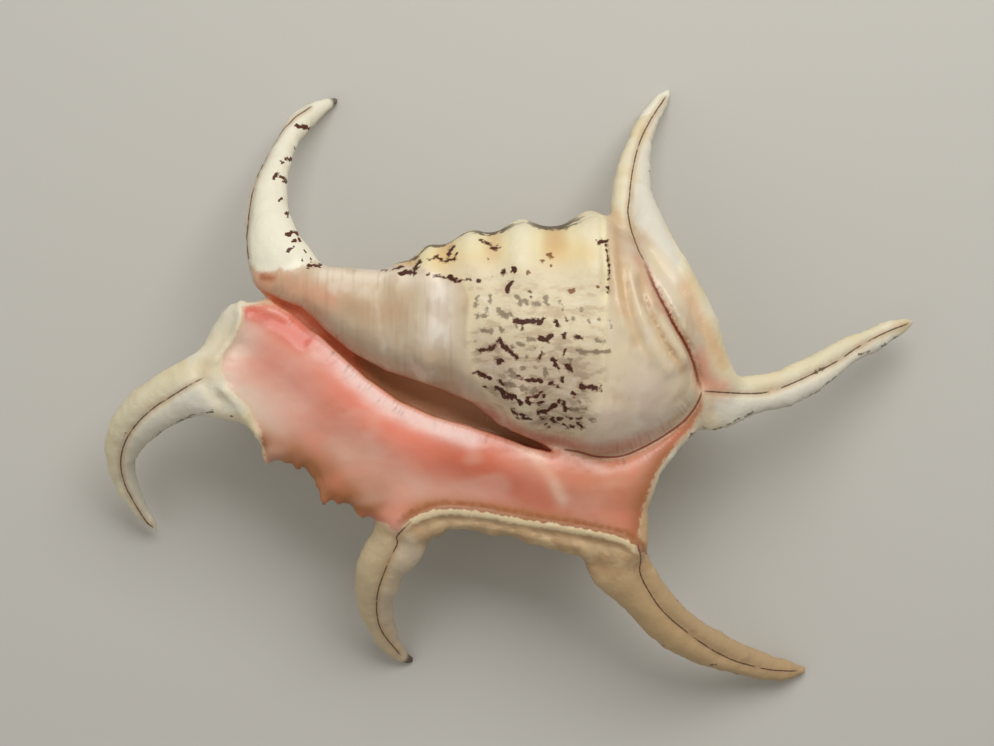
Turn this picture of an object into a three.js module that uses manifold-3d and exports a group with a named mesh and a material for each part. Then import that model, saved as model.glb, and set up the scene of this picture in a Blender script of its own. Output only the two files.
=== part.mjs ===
// Spider conch shell, lying on its back with the aperture up.
// Millimetres, +Z up. +X runs to the spire end, -X to the siphonal end, -Y to the flared outer lip.
// The origin is on the floor, under the middle of the shell's box.
// The shell grew as one piece, so it is one mesh: whorl, lip, spines and spire are joined into one solid.
import * as THREE from "three";
import { mergeVertices } from "three/addons/utils/BufferGeometryUtils.js";
import Module from "manifold-3d";

const wasm = await Module();
wasm.setup();

// ---- Driving dimensions -------------------------------------------------------------------

const SHELL_COLOUR = 0xe9dcc6;
const SHELL_ROUGHNESS = 0.35;

const WHORL_STEPS = 44;
const WHORL_SIDES = 36;
const LIP_STEPS = 30;
const SPINE_STEPS = 15;
const SPINE_SIDES = 12;
const WALL_STEPS = 18;
const WALL_SIDES = 24;
const CHAMBER_STEPS = 12;
const CHAMBER_SIDES = 16;
const RAY_STEPS = 8;
const RAY_SIDES = 10;

const FLOOR_CUT = 40; // depth of the block that trims what would dip under the floor
const SQUARENESS = 2.3; // 2 is an ellipse, more is boxier

// The body whorl: [x, middle y, half width, middle z, half height].
const WHORL = [
  [-66.5, 27.5, 1, 41, 1.2],
  [-64.4, 27.1, 2.6, 41, 2.8],
  [-54.6, 25.6, 4.8, 41, 5],
  [-44.4, 20.8, 9.5, 40.5, 8.5],
  [-31.7, 16.8, 13.4, 38, 13],
  [-21.4, 17.2, 17.4, 36, 18],
  [-11, 16.7, 21.2, 34, 22],
  [2, 13.6, 26.6, 32, 26],
  [15, 12.3, 29, 31, 28],
  [25.6, 11.8, 30.2, 30.5, 28.5],
  [36, 9.7, 25.7, 30.5, 26],
  [45, 6.5, 15.5, 31, 20],
  [49.6, 0, 3, 31, 7],
];

// The last half turn of the whorl, whose wall swells under the lip and holds the chamber.
const OUTER_WALL = [
  [-61.5, 22, 1.5, 38, 1.5],
  [-56, 19, 5, 37, 3.5],
  [-50, 14.5, 9, 35.5, 5],
  [-42, 9, 13, 33.5, 7],
  [-26, 1, 21, 29, 12],
  [-10, -3, 25, 27, 14.5],
  [5, -5, 26.5, 26, 16],
  [20, -4, 26, 26, 16.5],
  [33, -1, 20, 28, 14],
  [44, 2, 9, 32, 8],
];

const CHAMBER = [
  [-50, 15, 2, 38, 2.5],
  [-42, 10, 5.5, 34.5, 5],
  [-30, 4, 10, 30.5, 8.5],
  [-15, -1, 14, 28, 11],
  [0, -3, 16, 27, 12],
  [15, -4, 14, 27, 11.5],
  [27, -3, 6, 28, 6],
];

// The long opening between the columella and the lip, seen from above.
const APERTURE = [
  [-50, 15.6],
  [-32.4, 3.6],
  [-20.6, -0.2],
  [-10.4, -4.4],
  [-3.3, -10.3],
  [10, -17],
  [-1.2, -12.7],
  [-10.5, -10.7],
  [-20.7, -7.8],
  [-29.2, -4.1],
  [-46, 9.6],
  [-50, 12.6],
];
const APERTURE_FLOOR = 30; // z at which the opening has met the chamber

// The open channel that leads from the aperture out to the siphonal end.
const CANAL_GROOVE = [
  [-47, 12.4, 43, 2, 6],
  [-54, 18, 43, 1.8, 4.5],
  [-60, 21.8, 43.5, 1.4, 4],
  [-66, 24.5, 44, 1.4, 4],
];

// Lip stations from the siphonal end to the spire end: [inner x, inner y, outer x, outer y].
const LIP = [
  [-61, 21.6, -70.5, 20.8],
  [-56, 16.4, -78.5, 12],
  [-47, 8.4, -78, 1],
  [-38.6, 0.9, -71, -8.5],
  [-29.6, -5, -64.5, -17],
  [-21, -8.6, -53, -25],
  [-10.7, -11.6, -43, -31],
  [-1.4, -13.4, -29, -39.5],
  [9, -15.5, -12, -38],
  [18, -15.5, 4, -41.5],
  [26, -16, 20, -45],
  [33, -14, 33.2, -43.5],
  [40, -9, 35.5, -30],
  [45.5, -4, 43, -16.5],
];
const LIP_TOP_INNER = 44;
const LIP_TOP_OUTER = 42.5;
const LIP_CROWN = 1.6; // how far the glazed face swells above a straight line across the lip
const LIP_THICK_INNER = 8.5;
const LIP_THICK_OUTER = 6.5;

// Spiral ribs of the whorl: [x, width along the shell, height, knob height].
const RIBS = [
  [20.5, 5.2, 1.6, 3.4],
  [2.2, 4, 2, 1.6],
  [-11, 3.6, 2, 1.1],
  [-21.6, 3, 2, 0.7],
  [-29.5, 2.4, 1.2, 0.4],
];
const RIB_DRIFT = 6; // how far a rib moves towards the siphonal end in a half turn over the back
const KNOBS_PER_TURN = 9;

// Each spine: [x, y, z, half width, half thickness] from inside the shell to the tip.
const SPINES = {
  siphonal: [
    [-54.7, 25.7, 40, 7.5, 4.6],
    [-59.7, 31.7, 39.5, 8.2, 5.4],
    [-62.2, 37.5, 38, 7, 5.2],
    [-64.1, 44.2, 34, 6.1, 4.9],
    [-64.1, 52.4, 28, 4.9, 4.1],
    [-62.3, 61.3, 20.5, 3.7, 3.4],
    [-58.8, 69.8, 12, 3.2, 2.9],
    [-53.7, 75.6, 5, 2.4, 2.4],
    [-48.3, 78.9, 0.7, 0.8, 0.8],
  ],
  left: [
    [-64.7, 2.6, 38, 11, 4],
    [-73.2, 1.3, 39.5, 10.8, 5],
    [-82.9, -0.8, 39, 7.5, 4.9],
    [-92, -5, 35, 6.6, 5],
    [-100.4, -11.1, 29, 6, 4.8],
    [-104.8, -19.3, 22, 4.1, 3.7],
    [-104.4, -27.2, 15, 3.2, 2.9],
    [-101.3, -34.3, 9, 2.3, 2.2],
    [-97.4, -40.4, 5, 0.8, 0.8],
  ],
  lowerLeft: [
    [-26, -29, 37.5, 8, 4],
    [-29.3, -40.4, 34.5, 7.3, 4.6],
    [-33.6, -45.9, 31, 6.5, 4.6],
    [-35.5, -51.5, 27, 6.1, 4.6],
    [-36.6, -57.7, 21, 4.9, 3.9],
    [-35.9, -63.5, 15, 4, 3.5],
    [-33.8, -70.1, 7.5, 3.1, 2.9],
    [-30.8, -74.6, 2.8, 1.9, 1.8],
    [-27.8, -76.6, 0.7, 0.8, 0.8],
  ],
  lowerRight: [
    [25.8, -34, 37.5, 8.5, 4],
    [26.9, -45.1, 35, 8.4, 4.8],
    [33.4, -53.7, 31, 6.2, 4.4],
    [41, -62.8, 25, 5.8, 4.4],
    [50.1, -69.3, 18.5, 5.3, 4.3],
    [60.6, -74.2, 11.5, 4.2, 3.6],
    [69.7, -77.6, 6.2, 3.5, 3.1],
    [76.2, -79, 3, 2.5, 2.3],
    [80.8, -79.2, 1.2, 0.9, 0.9],
  ],
  right: [
    [43.3, -3.9, 37, 7, 4],
    [53.1, -4.1, 37, 7.2, 4.6],
    [61.7, -2.6, 35, 4.9, 4],
    [71.4, -0.8, 31, 4.8, 4],
    [79.6, 3.1, 27, 4.5, 3.7],
    [88.7, 8.6, 22, 3.5, 3.1],
    [96.6, 11.7, 17, 3.1, 2.8],
    [104.3, 15.3, 12.5, 2.3, 2.2],
    [108.8, 17, 10, 0.8, 0.8],
  ],
  hind: [
    [46.5, -1, 36, 8, 4.5],
    [41.5, 13, 39, 11.5, 5.4],
    [36, 24.4, 41, 10.4, 5.6],
    [33.8, 32.2, 40, 8.9, 5.4],
    [32.2, 40.1, 36.5, 7, 5],
    [31.2, 48.5, 30.5, 5.1, 4.2],
    [32.1, 57, 24, 4.5, 3.8],
    [34.3, 65.1, 16, 3.2, 3.1],
    [37.4, 72.1, 8.5, 2.7, 2.6],
    [40.8, 77.4, 3.2, 1.8, 1.7],
    [43.3, 81, 0.7, 0.8, 0.8],
  ],
};

// Ridges on the back of the lip, from the whorl out to the roots of the spines.
const RAYS = {
  left: [
    [-24, 10, 24, 4, 4],
    [-42, 6, 28.5, 4, 3.5],
    [-60, 3, 34, 4.5, 3.5],
    [-76, 1.3, 37.5, 4, 3.5],
  ],
  lowerLeft: [
    [-10, 2, 22, 4, 4],
    [-18, -13, 22, 4.5, 4],
    [-24, -26, 30.5, 5, 4],
    [-29, -39, 34, 4.5, 4],
  ],
  lowerRight: [
    [8, -4, 20, 5, 5],
    [16, -18, 19.5, 6, 5],
    [22, -31, 28.5, 6.5, 5],
    [27, -44, 34, 6, 4.5],
  ],
};

const SPIRE_FOOT = new THREE.Vector3(36, 9.5, 27);
const SPIRE_APEX = new THREE.Vector3(55, 12.5, 18);
// Spire profile from the foot to the apex: [radius, share of the spire's length].
const SPIRE_PROFILE = [
  [0, 0],
  [17.5, 0],
  [16.5, 0.16],
  [13.6, 0.24],
  [12.8, 0.42],
  [9.8, 0.5],
  [9, 0.66],
  [6.2, 0.73],
  [5, 0.86],
  [2.4, 0.92],
  [0, 1],
];
const SPIRE_SEGMENTS = 20;

// ---- Shape helpers ------------------------------------------------------------------------

const TURN = 2 * Math.PI;

const bump = (offset, width) => Math.exp(-((offset / width) ** 2));

// One smooth reading of a table of stations, at share t of its length.
function reader(rows) {
  const columns = rows[0].map((_, c) => {
    const points = rows.map((row) => new THREE.Vector3(row[c], 0, 0));
    return new THREE.CatmullRomCurve3(points, false, "catmullrom", 0.5);
  });
  return (t) => columns.map((column) => column.getPoint(t).x);
}

// A closed surface through rings with the same number of points, each end closed by a fan.
function loft(rings) {
  const sides = rings[0].length;
  const ends = [rings[0], rings[rings.length - 1]].map((ring) =>
    ring.reduce((sum, p) => sum.add(p), new THREE.Vector3()).divideScalar(sides),
  );
  const points = [...rings.flat(), ...ends];
  const faces = [];
  for (let s = 0; s < sides; s++) {
    const next = (s + 1) % sides;
    for (let r = 0; r + 1 < rings.length; r++) {
      const [a, b] = [r * sides + s, r * sides + next];
      faces.push(a, b, b + sides, a, b + sides, a + sides);
    }
    const last = (rings.length - 1) * sides;
    faces.push(points.length - 2, next, s);
    faces.push(points.length - 1, last + s, last + next);
  }
  const geometry = new THREE.BufferGeometry().setFromPoints(points);
  if (volumeOf(points, faces) < 0) faces.reverse();
  return geometry.setIndex(faces);
}

function volumeOf(points, faces) {
  const cross = new THREE.Vector3();
  let sum = 0;
  for (let i = 0; i < faces.length; i += 3) {
    cross.crossVectors(points[faces[i + 1]], points[faces[i + 2]]);
    sum += points[faces[i]].dot(cross) / 6;
  }
  return sum;
}

// A point of a rounded square-ish section, at an angle counted from +Y towards +Z.
function sectionPoint([x, y, halfWidth, z, halfHeight], angle, raised = 0) {
  const power = 2 / SQUARENESS;
  const c = Math.sign(Math.cos(angle)) * Math.abs(Math.cos(angle)) ** power;
  const s = Math.sign(Math.sin(angle)) * Math.abs(Math.sin(angle)) ** power;
  return new THREE.Vector3(x, y + (halfWidth + raised) * c, z + (halfHeight + raised) * s);
}

// A solid through the sections of a table like WHORL.
function sectionLoft(rows, steps, sides, raisedBy = () => 0) {
  const at = reader(rows);
  const rings = [];
  for (let i = 0; i <= steps; i++) {
    const section = at(i / steps);
    const ring = [];
    for (let k = 0; k < sides; k++) {
      const angle = (TURN * k) / sides;
      ring.push(sectionPoint(section, angle, raisedBy(section[0], angle)));
    }
    rings.push(ring);
  }
  return loft(rings);
}

// A tapering tube with an oval section that stays level from side to side.
function spine(rows, steps = SPINE_STEPS, sides = SPINE_SIDES) {
  const path = new THREE.CatmullRomCurve3(rows.map(([x, y, z]) => new THREE.Vector3(x, y, z)));
  const girth = reader(rows.map(([, , , width, thickness]) => [width, thickness]));
  const up = new THREE.Vector3(0, 0, 1);
  const rings = [];
  for (let i = 0; i <= steps; i++) {
    const t = i / steps;
    const along = path.getTangent(t);
    const across = new THREE.Vector3().crossVectors(along, up).normalize();
    const out = new THREE.Vector3().crossVectors(across, along);
    const [width, thickness] = girth(t);
    const ring = [];
    for (let k = 0; k < sides; k++) {
      const angle = (TURN * k) / sides;
      ring.push(
        path
          .getPoint(t)
          .addScaledVector(across, width * Math.cos(angle))
          .addScaledVector(out, thickness * Math.sin(angle)),
      );
    }
    rings.push(ring);
  }
  return loft(rings);
}

// ---- The shell's regions ------------------------------------------------------------------

// Ribs run round the back of the whorl and die out under the glaze of the aperture side.
function ribHeight(x, angle) {
  const back = (1 - Math.sin(angle)) / 2; // 0 on the aperture side, 1 on the back
  const share = THREE.MathUtils.smoothstep(back, 0.2, 0.5);
  const halfTurns = (Math.PI * 2 - angle) / Math.PI;
  const knob = Math.max(0, Math.cos(KNOBS_PER_TURN * (angle + Math.PI / 2)));
  return RIBS.reduce((sum, [middle, width, height, knobHeight]) => {
    const offset = x - middle + RIB_DRIFT * (angle > Math.PI ? halfTurns : 0);
    return sum + bump(offset, width) * (height + knobHeight * knob * back) * share;
  }, 0);
}

// The flared lip: a thick sheet with a rounded margin, swelling a little between its edges.
function lip() {
  const at = reader(LIP);
  const topShares = [0, 0.08, 0.25, 0.5, 0.75, 0.92, 1];
  const rings = [];
  for (let i = 0; i <= LIP_STEPS; i++) {
    const [innerX, innerY, outerX, outerY] = at(i / LIP_STEPS);
    const place = (share, height) =>
      new THREE.Vector3(
        THREE.MathUtils.lerp(innerX, outerX, share),
        THREE.MathUtils.lerp(innerY, outerY, share),
        height,
      );
    const top = (share) =>
      THREE.MathUtils.lerp(LIP_TOP_INNER, LIP_TOP_OUTER, share) +
      LIP_CROWN * Math.sin(Math.PI * share);
    const thick = (share) => THREE.MathUtils.lerp(LIP_THICK_INNER, LIP_THICK_OUTER, share);
    const rounding = (share) => Math.sqrt(1 - (2 * share - 1) ** 8);
    const middle = (share) => top(share) - thick(share) / 2;
    const upper = topShares.map((s) => place(s, middle(s) + (thick(s) / 2) * rounding(s)));
    const lower = topShares.map((s) => place(s, middle(s) - (thick(s) / 2) * rounding(s)));
    rings.push([...upper, ...lower.slice(1, -1).reverse()]);
  }
  return loft(rings);
}

function spire() {
  const axis = new THREE.Vector3().subVectors(SPIRE_APEX, SPIRE_FOOT);
  const length = axis.length();
  const profile = SPIRE_PROFILE.map(([r, share]) => new THREE.Vector2(r, share * length));
  const turn = new THREE.Quaternion().setFromUnitVectors(
    new THREE.Vector3(0, 1, 0),
    axis.normalize(),
  );
  return new THREE.LatheGeometry(profile, SPIRE_SEGMENTS)
    .applyQuaternion(turn)
    .translate(...SPIRE_FOOT.toArray());
}

// The opening's outline, cut straight down to the chamber.
function aperture() {
  const outline = new THREE.Shape(APERTURE.map(([x, y]) => new THREE.Vector2(x, y)));
  return new THREE.ExtrudeGeometry(outline, { depth: FLOOR_CUT, bevelEnabled: false }).translate(
    0,
    0,
    APERTURE_FLOOR,
  );
}

function floorBlock() {
  const side = 300;
  return new THREE.BoxGeometry(side, side, FLOOR_CUT).translate(0, 0, -FLOOR_CUT / 2);
}

// ---- Joining ------------------------------------------------------------------------------

function solid(geometry) {
  const bare = geometry.clone();
  bare.deleteAttribute("normal");
  bare.deleteAttribute("uv");
  const merged = mergeVertices(bare);
  return new wasm.Manifold(
    new wasm.Mesh({
      numProp: 3,
      vertProperties: new Float32Array(merged.attributes.position.array),
      triVerts: new Uint32Array(merged.index.array),
    }),
  );
}

function geometryOf(manifold) {
  const { vertProperties, triVerts } = manifold.getMesh();
  const geometry = new THREE.BufferGeometry();
  geometry.setAttribute("position", new THREE.BufferAttribute(vertProperties, 3));
  geometry.setIndex(new THREE.BufferAttribute(triVerts, 1));
  geometry.computeVertexNormals();
  return geometry;
}

function buildShell() {
  const regions = [
    sectionLoft(WHORL, WHORL_STEPS, WHORL_SIDES, ribHeight),
    sectionLoft(OUTER_WALL, WALL_STEPS, WALL_SIDES),
    lip(),
    spire(),
    ...Object.values(SPINES).map((rows) => spine(rows)),
    ...Object.values(RAYS).map((rows) => spine(rows, RAY_STEPS, RAY_SIDES)),
  ];
  const hollows = [
    sectionLoft(CHAMBER, CHAMBER_STEPS, CHAMBER_SIDES),
    aperture(),
    spine(CANAL_GROOVE, RAY_STEPS, RAY_SIDES),
    floorBlock(),
  ];
  const joined = regions.map(solid).reduce((whole, region) => whole.add(region));
  return geometryOf(hollows.map(solid).reduce((whole, hollow) => whole.subtract(hollow), joined));
}

const geometry = buildShell();
geometry.computeBoundingBox();
const middle = geometry.boundingBox.getCenter(new THREE.Vector3());

const shell = new THREE.Mesh(
  geometry,
  new THREE.MeshStandardMaterial({
    color: SHELL_COLOUR,
    roughness: SHELL_ROUGHNESS,
    metalness: 0,
  }),
);
shell.name = "shell";

const conch = new THREE.Group();
conch.add(shell);
conch.position.set(-middle.x, -middle.y, 0);

export default conch;
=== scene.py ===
"""A spider conch shell of the chiragra kind, lying on its back with the aperture up.

Written as a Blender add-on that also runs as a script. The distance to the shell's surface is worked
out on an even lattice, a mesh of four-sided faces is drawn through it and made finer where pigment
runs, and Geometry Nodes lay growth waves over it. Tables and distances are in millimetres, and the
mesh is made in metres.
"""

import bpy
import numpy as np
from bpy.props import FloatProperty, FloatVectorProperty, IntProperty, PointerProperty
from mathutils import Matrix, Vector


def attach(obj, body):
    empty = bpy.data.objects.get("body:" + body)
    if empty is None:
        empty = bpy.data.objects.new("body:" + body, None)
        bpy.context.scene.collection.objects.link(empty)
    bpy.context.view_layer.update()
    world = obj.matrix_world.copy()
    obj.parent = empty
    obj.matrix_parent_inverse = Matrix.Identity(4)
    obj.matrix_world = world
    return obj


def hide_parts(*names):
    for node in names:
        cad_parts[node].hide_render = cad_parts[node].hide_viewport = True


bl_info = {
    "name": "Spider Conch Shell",
    "version": (1, 0, 0),
    "blender": (4, 5, 0),
    "location": "3D View > Sidebar > Conch",
    "description": "Grows a spider conch shell and lays it on a pale floor",
    "category": "Add Mesh",
}

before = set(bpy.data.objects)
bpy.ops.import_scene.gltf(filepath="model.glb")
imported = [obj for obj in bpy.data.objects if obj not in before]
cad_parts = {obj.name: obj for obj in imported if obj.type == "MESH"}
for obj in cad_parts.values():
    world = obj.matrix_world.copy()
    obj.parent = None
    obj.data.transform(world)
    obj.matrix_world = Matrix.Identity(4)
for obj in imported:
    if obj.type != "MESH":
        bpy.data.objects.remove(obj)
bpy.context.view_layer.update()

MM = 0.001
PIECE = "shell_surface"
BODY = "root"
NODE = "shell"

# The middle of the shell's box in the tables below; the finished piece is moved so it lies at zero.
MIDDLE = (0.2, 0.0)

# ---- The shell's shape, in millimetres ------------------------------------------------------

LATTICE_LOW = (-110.5, -83.3, -2.0)
LATTICE_HIGH = (111.0, 83.3, 61.0)
FAR = 30.0

# The body whorl: x, middle y, half width, middle z, half height.
WHORL = (
    (-66.5, 27.5, 1.0, 41.0, 1.2),
    (-64.4, 27.1, 2.6, 41.0, 2.8),
    (-54.6, 25.6, 4.8, 41.0, 5.0),
    (-44.4, 20.8, 9.5, 40.5, 8.5),
    (-31.7, 16.8, 13.4, 38.0, 13.0),
    (-21.4, 17.2, 17.4, 36.0, 18.0),
    (-11.0, 16.7, 21.2, 34.0, 22.0),
    (2.0, 13.6, 26.6, 32.0, 26.0),
    (15.0, 12.3, 29.0, 31.0, 28.0),
    (25.6, 11.8, 30.0, 30.5, 28.3),
    (36.0, 9.7, 25.7, 30.5, 26.0),
    (45.0, 6.5, 15.5, 31.0, 20.0),
    (49.6, 0.0, 3.0, 31.0, 7.0),
)
# The last half turn, swelling under the lip.
OUTER_WALL = (
    (-61.5, 22.0, 1.5, 38.0, 1.5),
    (-56.0, 19.0, 5.0, 37.0, 3.5),
    (-50.0, 14.5, 9.0, 35.5, 5.0),
    (-42.0, 9.0, 13.0, 33.5, 7.0),
    (-26.0, 1.0, 21.0, 29.0, 12.0),
    (-10.0, -3.0, 25.0, 27.0, 14.5),
    (5.0, -5.0, 26.5, 26.0, 16.0),
    (20.0, -4.0, 26.0, 26.0, 16.5),
    (33.0, -1.0, 20.0, 28.0, 14.0),
    (44.0, 2.0, 9.0, 32.0, 8.0),
)
CHAMBER = (
    (-40.0, 9.0, 3.0, 38.0, 1.2),
    (-30.0, 4.0, 8.0, 36.5, 3.0),
    (-15.0, -1.0, 11.0, 36.8, 3.2),
    (0.0, -3.0, 12.0, 37.5, 2.6),
    (15.0, -4.0, 10.0, 37.0, 2.5),
    (25.0, -3.0, 5.0, 36.0, 2.0),
)
APERTURE = (
    (-66.0, 25.4),
    (-59.0, 21.6),
    (-54.3, 19.9),
    (-48.4, 14.3),
    (-41.8, 8.7),
    (-32.4, 3.6),
    (-20.6, -0.2),
    (-10.4, -4.4),
    (-3.3, -10.3),
    (3.0, -13.0),
    (8.0, -15.4),
    (10.6, -17.3),
    (4.6, -16.0),
    (-1.2, -13.9),
    (-10.5, -10.7),
    (-20.7, -7.8),
    (-29.2, -4.1),
    (-37.6, 1.9),
    (-46.1, 9.6),
    (-54.6, 17.2),
    (-61.0, 20.9),
)
# How deep the aperture is cut along the shell: x, z.
APERTURE_FLOOR = (
    (-66.0, 41.0),
    (-58.0, 39.8),
    (-48.0, 38.8),
    (-41.0, 37.8),
    (-35.0, 36.0),
    (-28.0, 34.8),
    (-12.0, 35.0),
    (2.0, 36.5),
    (12.0, 38.0),
)

# The lip's free edges, seen from above.
LIP_INNER_EDGE = (
    (-61.8, 21.9),
    (-54.6, 17.2),
    (-46.1, 9.6),
    (-37.6, 1.9),
    (-29.2, -4.1),
    (-20.7, -7.8),
    (-10.5, -10.7),
    (-1.2, -13.0),
    (9.9, -15.5),
    (17.0, -17.1),
    (24.8, -18.4),
    (32.5, -16.3),
    (40.7, -11.5),
    (46.8, -5.1),
)
LIP_MARGIN = (
    (-61.8, 21.9),
    (-69.4, 21.1),
    (-72.4, 20.8),
    (-75.0, 18.6),
    (-77.6, 14.6),
    (-79.4, 10.6),
    (-81.0, 4.0),
    (-79.0, -4.0),
    (-71.4, -7.6),
    (-67.8, -10.6),
    (-64.9, -15.4),
    (-63.6, -18.9),
    (-61.0, -19.4),
    (-57.4, -19.6),
    (-53.4, -21.0),
    (-50.6, -23.6),
    (-49.0, -27.4),
    (-47.4, -29.4),
    (-44.4, -30.2),
    (-41.6, -30.9),
    (-38.9, -33.2),
    (-35.7, -34.6),
    (-32.4, -37.6),
    (-26.0, -41.2),
    (-21.8, -40.6),
    (-16.1, -38.1),
    (-9.7, -38.1),
    (-4.6, -40.2),
    (-0.7, -39.7),
    (4.5, -41.7),
    (10.9, -43.5),
    (18.1, -45.2),
    (26.0, -47.0),
    (32.5, -44.5),
    (34.4, -40.5),
    (34.3, -33.0),
    (36.0, -28.3),
    (38.0, -22.4),
    (42.8, -16.2),
    (46.6, -12.6),
    (51.0, -3.0),
)
# The lip's sheet before the slot is cut through it.
LIP_SHEET_EDGE = (
    (0.5, -11.0),
    (-9.5, -7.8),
    (-19.5, -4.9),
    (-27.6, -1.4),
    (-35.7, 4.2),
    (-44.6, 11.6),
    (-54.0, 18.2),
)
# Where the lip's sheet runs on under the whorl.
LIP_ROOT = ((46.0, 3.0), (38.0, -2.0), (28.0, -8.0), (16.0, -10.5), (9.9, -15.5))
# The length the finish gives the lip, so that its streaks have sizes in millimetres.
LIP_LENGTH = 150.0
LIP_TOP = 43.4
LIP_CROWN = 2.6
LIP_CROWN_AT = 7.5
LIP_CROWN_WIDTH = 7.0
LIP_FALL = 2.0
LIP_HALF_THICKNESS = (4.2, 3.3)

# Spiral ribs of the whorl: x, width, height, extra height of the knobs on the back.
RIBS = (
    (20.5, 6.3, 2.7, 2.8),
    (2.2, 4.9, 2.6, 1.6),
    (-11.0, 4.2, 2.0, 1.1),
    (-21.8, 3.1, 1.6, 0.7),
    (-29.6, 2.2, 0.7, 0.4),
)
RIB_DRIFT = 6.0
KNOBS_PER_TURN = 9
# The height that the finish takes as a whole rib.
RIB_FULL_HEIGHT = 2.7

# Spines: x, y, z, half width, half thickness, from inside the shell to the tip.
SPINES = {
    "siphonal": (
        (-54.7, 25.7, 40.0, 7.5, 4.6),
        (-59.7, 31.7, 39.5, 8.2, 5.4),
        (-62.2, 37.5, 38.0, 7.0, 5.2),
        (-64.1, 44.2, 34.0, 6.1, 4.9),
        (-64.1, 52.4, 28.0, 4.9, 4.1),
        (-62.3, 61.3, 20.5, 3.7, 3.4),
        (-58.8, 69.8, 12.0, 3.2, 2.9),
        (-53.7, 75.6, 5.0, 2.4, 2.4),
        (-48.5, 78.8, 1.0, 0.8, 0.8),
    ),
    "left": (
        (-64.7, 2.6, 38.0, 11.0, 4.0),
        (-73.2, 1.3, 39.5, 10.8, 5.0),
        (-82.9, -0.8, 39.0, 7.5, 4.9),
        (-92.0, -5.0, 35.0, 6.6, 5.0),
        (-100.0, -11.1, 29.0, 6.0, 4.8),
        (-104.4, -19.3, 22.0, 4.1, 3.7),
        (-104.0, -27.2, 15.0, 3.2, 2.9),
        (-101.3, -34.3, 9.0, 2.3, 2.2),
        (-97.6, -40.0, 5.0, 0.8, 0.8),
    ),
    "lower left": (
        (-26.0, -29.0, 37.5, 8.0, 4.0),
        (-29.3, -40.4, 34.5, 7.3, 4.6),
        (-33.6, -45.9, 31.0, 6.5, 4.6),
        (-35.5, -51.5, 27.0, 6.1, 4.6),
        (-36.6, -57.7, 21.0, 4.9, 3.9),
        (-35.9, -63.5, 15.0, 4.0, 3.5),
        (-33.8, -70.1, 7.5, 3.1, 2.9),
        (-30.8, -74.6, 2.8, 1.9, 1.8),
        (-28.0, -76.4, 1.0, 0.8, 0.8),
    ),
    "lower right": (
        (25.8, -34.0, 37.5, 8.5, 4.0),
        (26.9, -45.1, 35.0, 8.4, 4.8),
        (33.4, -53.7, 31.0, 6.2, 4.4),
        (41.0, -62.8, 25.0, 5.8, 4.4),
        (50.1, -69.3, 18.5, 5.3, 4.3),
        (60.6, -74.2, 11.5, 4.2, 3.6),
        (69.7, -77.6, 6.2, 3.5, 3.1),
        (76.2, -79.0, 3.0, 2.5, 2.3),
        (80.6, -79.2, 1.4, 0.9, 0.9),
    ),
    "right": (
        (43.3, -3.9, 37.0, 7.0, 4.0),
        (53.1, -4.1, 37.0, 7.2, 4.6),
        (61.7, -2.6, 35.0, 4.9, 4.0),
        (71.4, -0.8, 31.0, 4.8, 4.0),
        (79.6, 3.1, 27.0, 4.5, 3.7),
        (88.7, 8.6, 22.0, 3.5, 3.1),
        (96.6, 11.7, 17.0, 3.1, 2.8),
        (104.2, 15.2, 12.5, 2.3, 2.2),
        (108.5, 16.9, 10.2, 0.8, 0.8),
    ),
    "hind": (
        (46.5, -1.0, 37.0, 8.0, 4.5),
        (42.0, 13.0, 39.5, 11.0, 5.6),
        (36.6, 24.4, 41.0, 10.0, 5.8),
        (33.8, 32.2, 40.0, 8.9, 5.6),
        (32.2, 40.1, 36.5, 7.0, 5.0),
        (31.2, 48.5, 30.5, 5.1, 4.2),
        (32.1, 57.0, 24.0, 4.5, 3.8),
        (34.3, 65.1, 16.0, 3.2, 3.1),
        (37.4, 72.1, 8.5, 2.7, 2.6),
        (40.8, 77.4, 3.2, 1.8, 1.7),
        (43.2, 80.8, 1.0, 0.8, 0.8),
    ),
}
# The outer band of the hind fold, a rounded roll beside the slit.
FLANGE = (
    (52.5, -1.0, 38.5, 6.0, 4.5),
    (49.0, 7.7, 41.0, 5.6, 5.2),
    (46.4, 15.4, 42.6, 5.6, 5.6),
    (41.3, 25.6, 43.3, 5.3, 5.2),
    (36.2, 37.0, 39.5, 4.2, 4.8),
    (33.2, 47.2, 32.0, 2.8, 3.6),
)
# Ridges on the back of the lip, from the whorl out to the spines.
RAYS = (
    (
        (-24.0, 10.0, 24.0, 4.0, 4.0),
        (-42.0, 6.0, 28.5, 4.0, 3.5),
        (-60.0, 3.0, 34.0, 4.5, 3.5),
        (-76.0, 1.3, 37.5, 4.0, 3.5),
    ),
    (
        (-10.0, 2.0, 22.0, 4.0, 4.0),
        (-18.0, -13.0, 22.0, 4.5, 4.0),
        (-24.0, -26.0, 30.5, 5.0, 4.0),
        (-29.0, -39.0, 34.0, 4.5, 4.0),
    ),
    (
        (8.0, -4.0, 20.0, 5.0, 5.0),
        (16.0, -18.0, 19.5, 6.0, 5.0),
        (22.0, -31.0, 28.5, 6.5, 5.0),
        (27.0, -44.0, 34.0, 6.0, 4.5),
    ),
)
SPIRE_FOOT = (36.0, 9.5, 27.0)
SPIRE_APEX = (55.0, 12.5, 18.0)
# Share of the spire's length, radius.
SPIRE_PROFILE = (
    (0.0, 17.5),
    (0.16, 16.5),
    (0.24, 13.6),
    (0.42, 12.8),
    (0.5, 9.8),
    (0.66, 9.0),
    (0.73, 6.2),
    (0.86, 5.0),
    (0.92, 2.4),
    (1.0, 0.4),
)
SPIRE_KNOBS = 9
SPIRE_KNOB_HEIGHT = 0.7
SPIRE_KNOB_TWIST = 9
SPIRE_SLANT = 0.72

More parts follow.
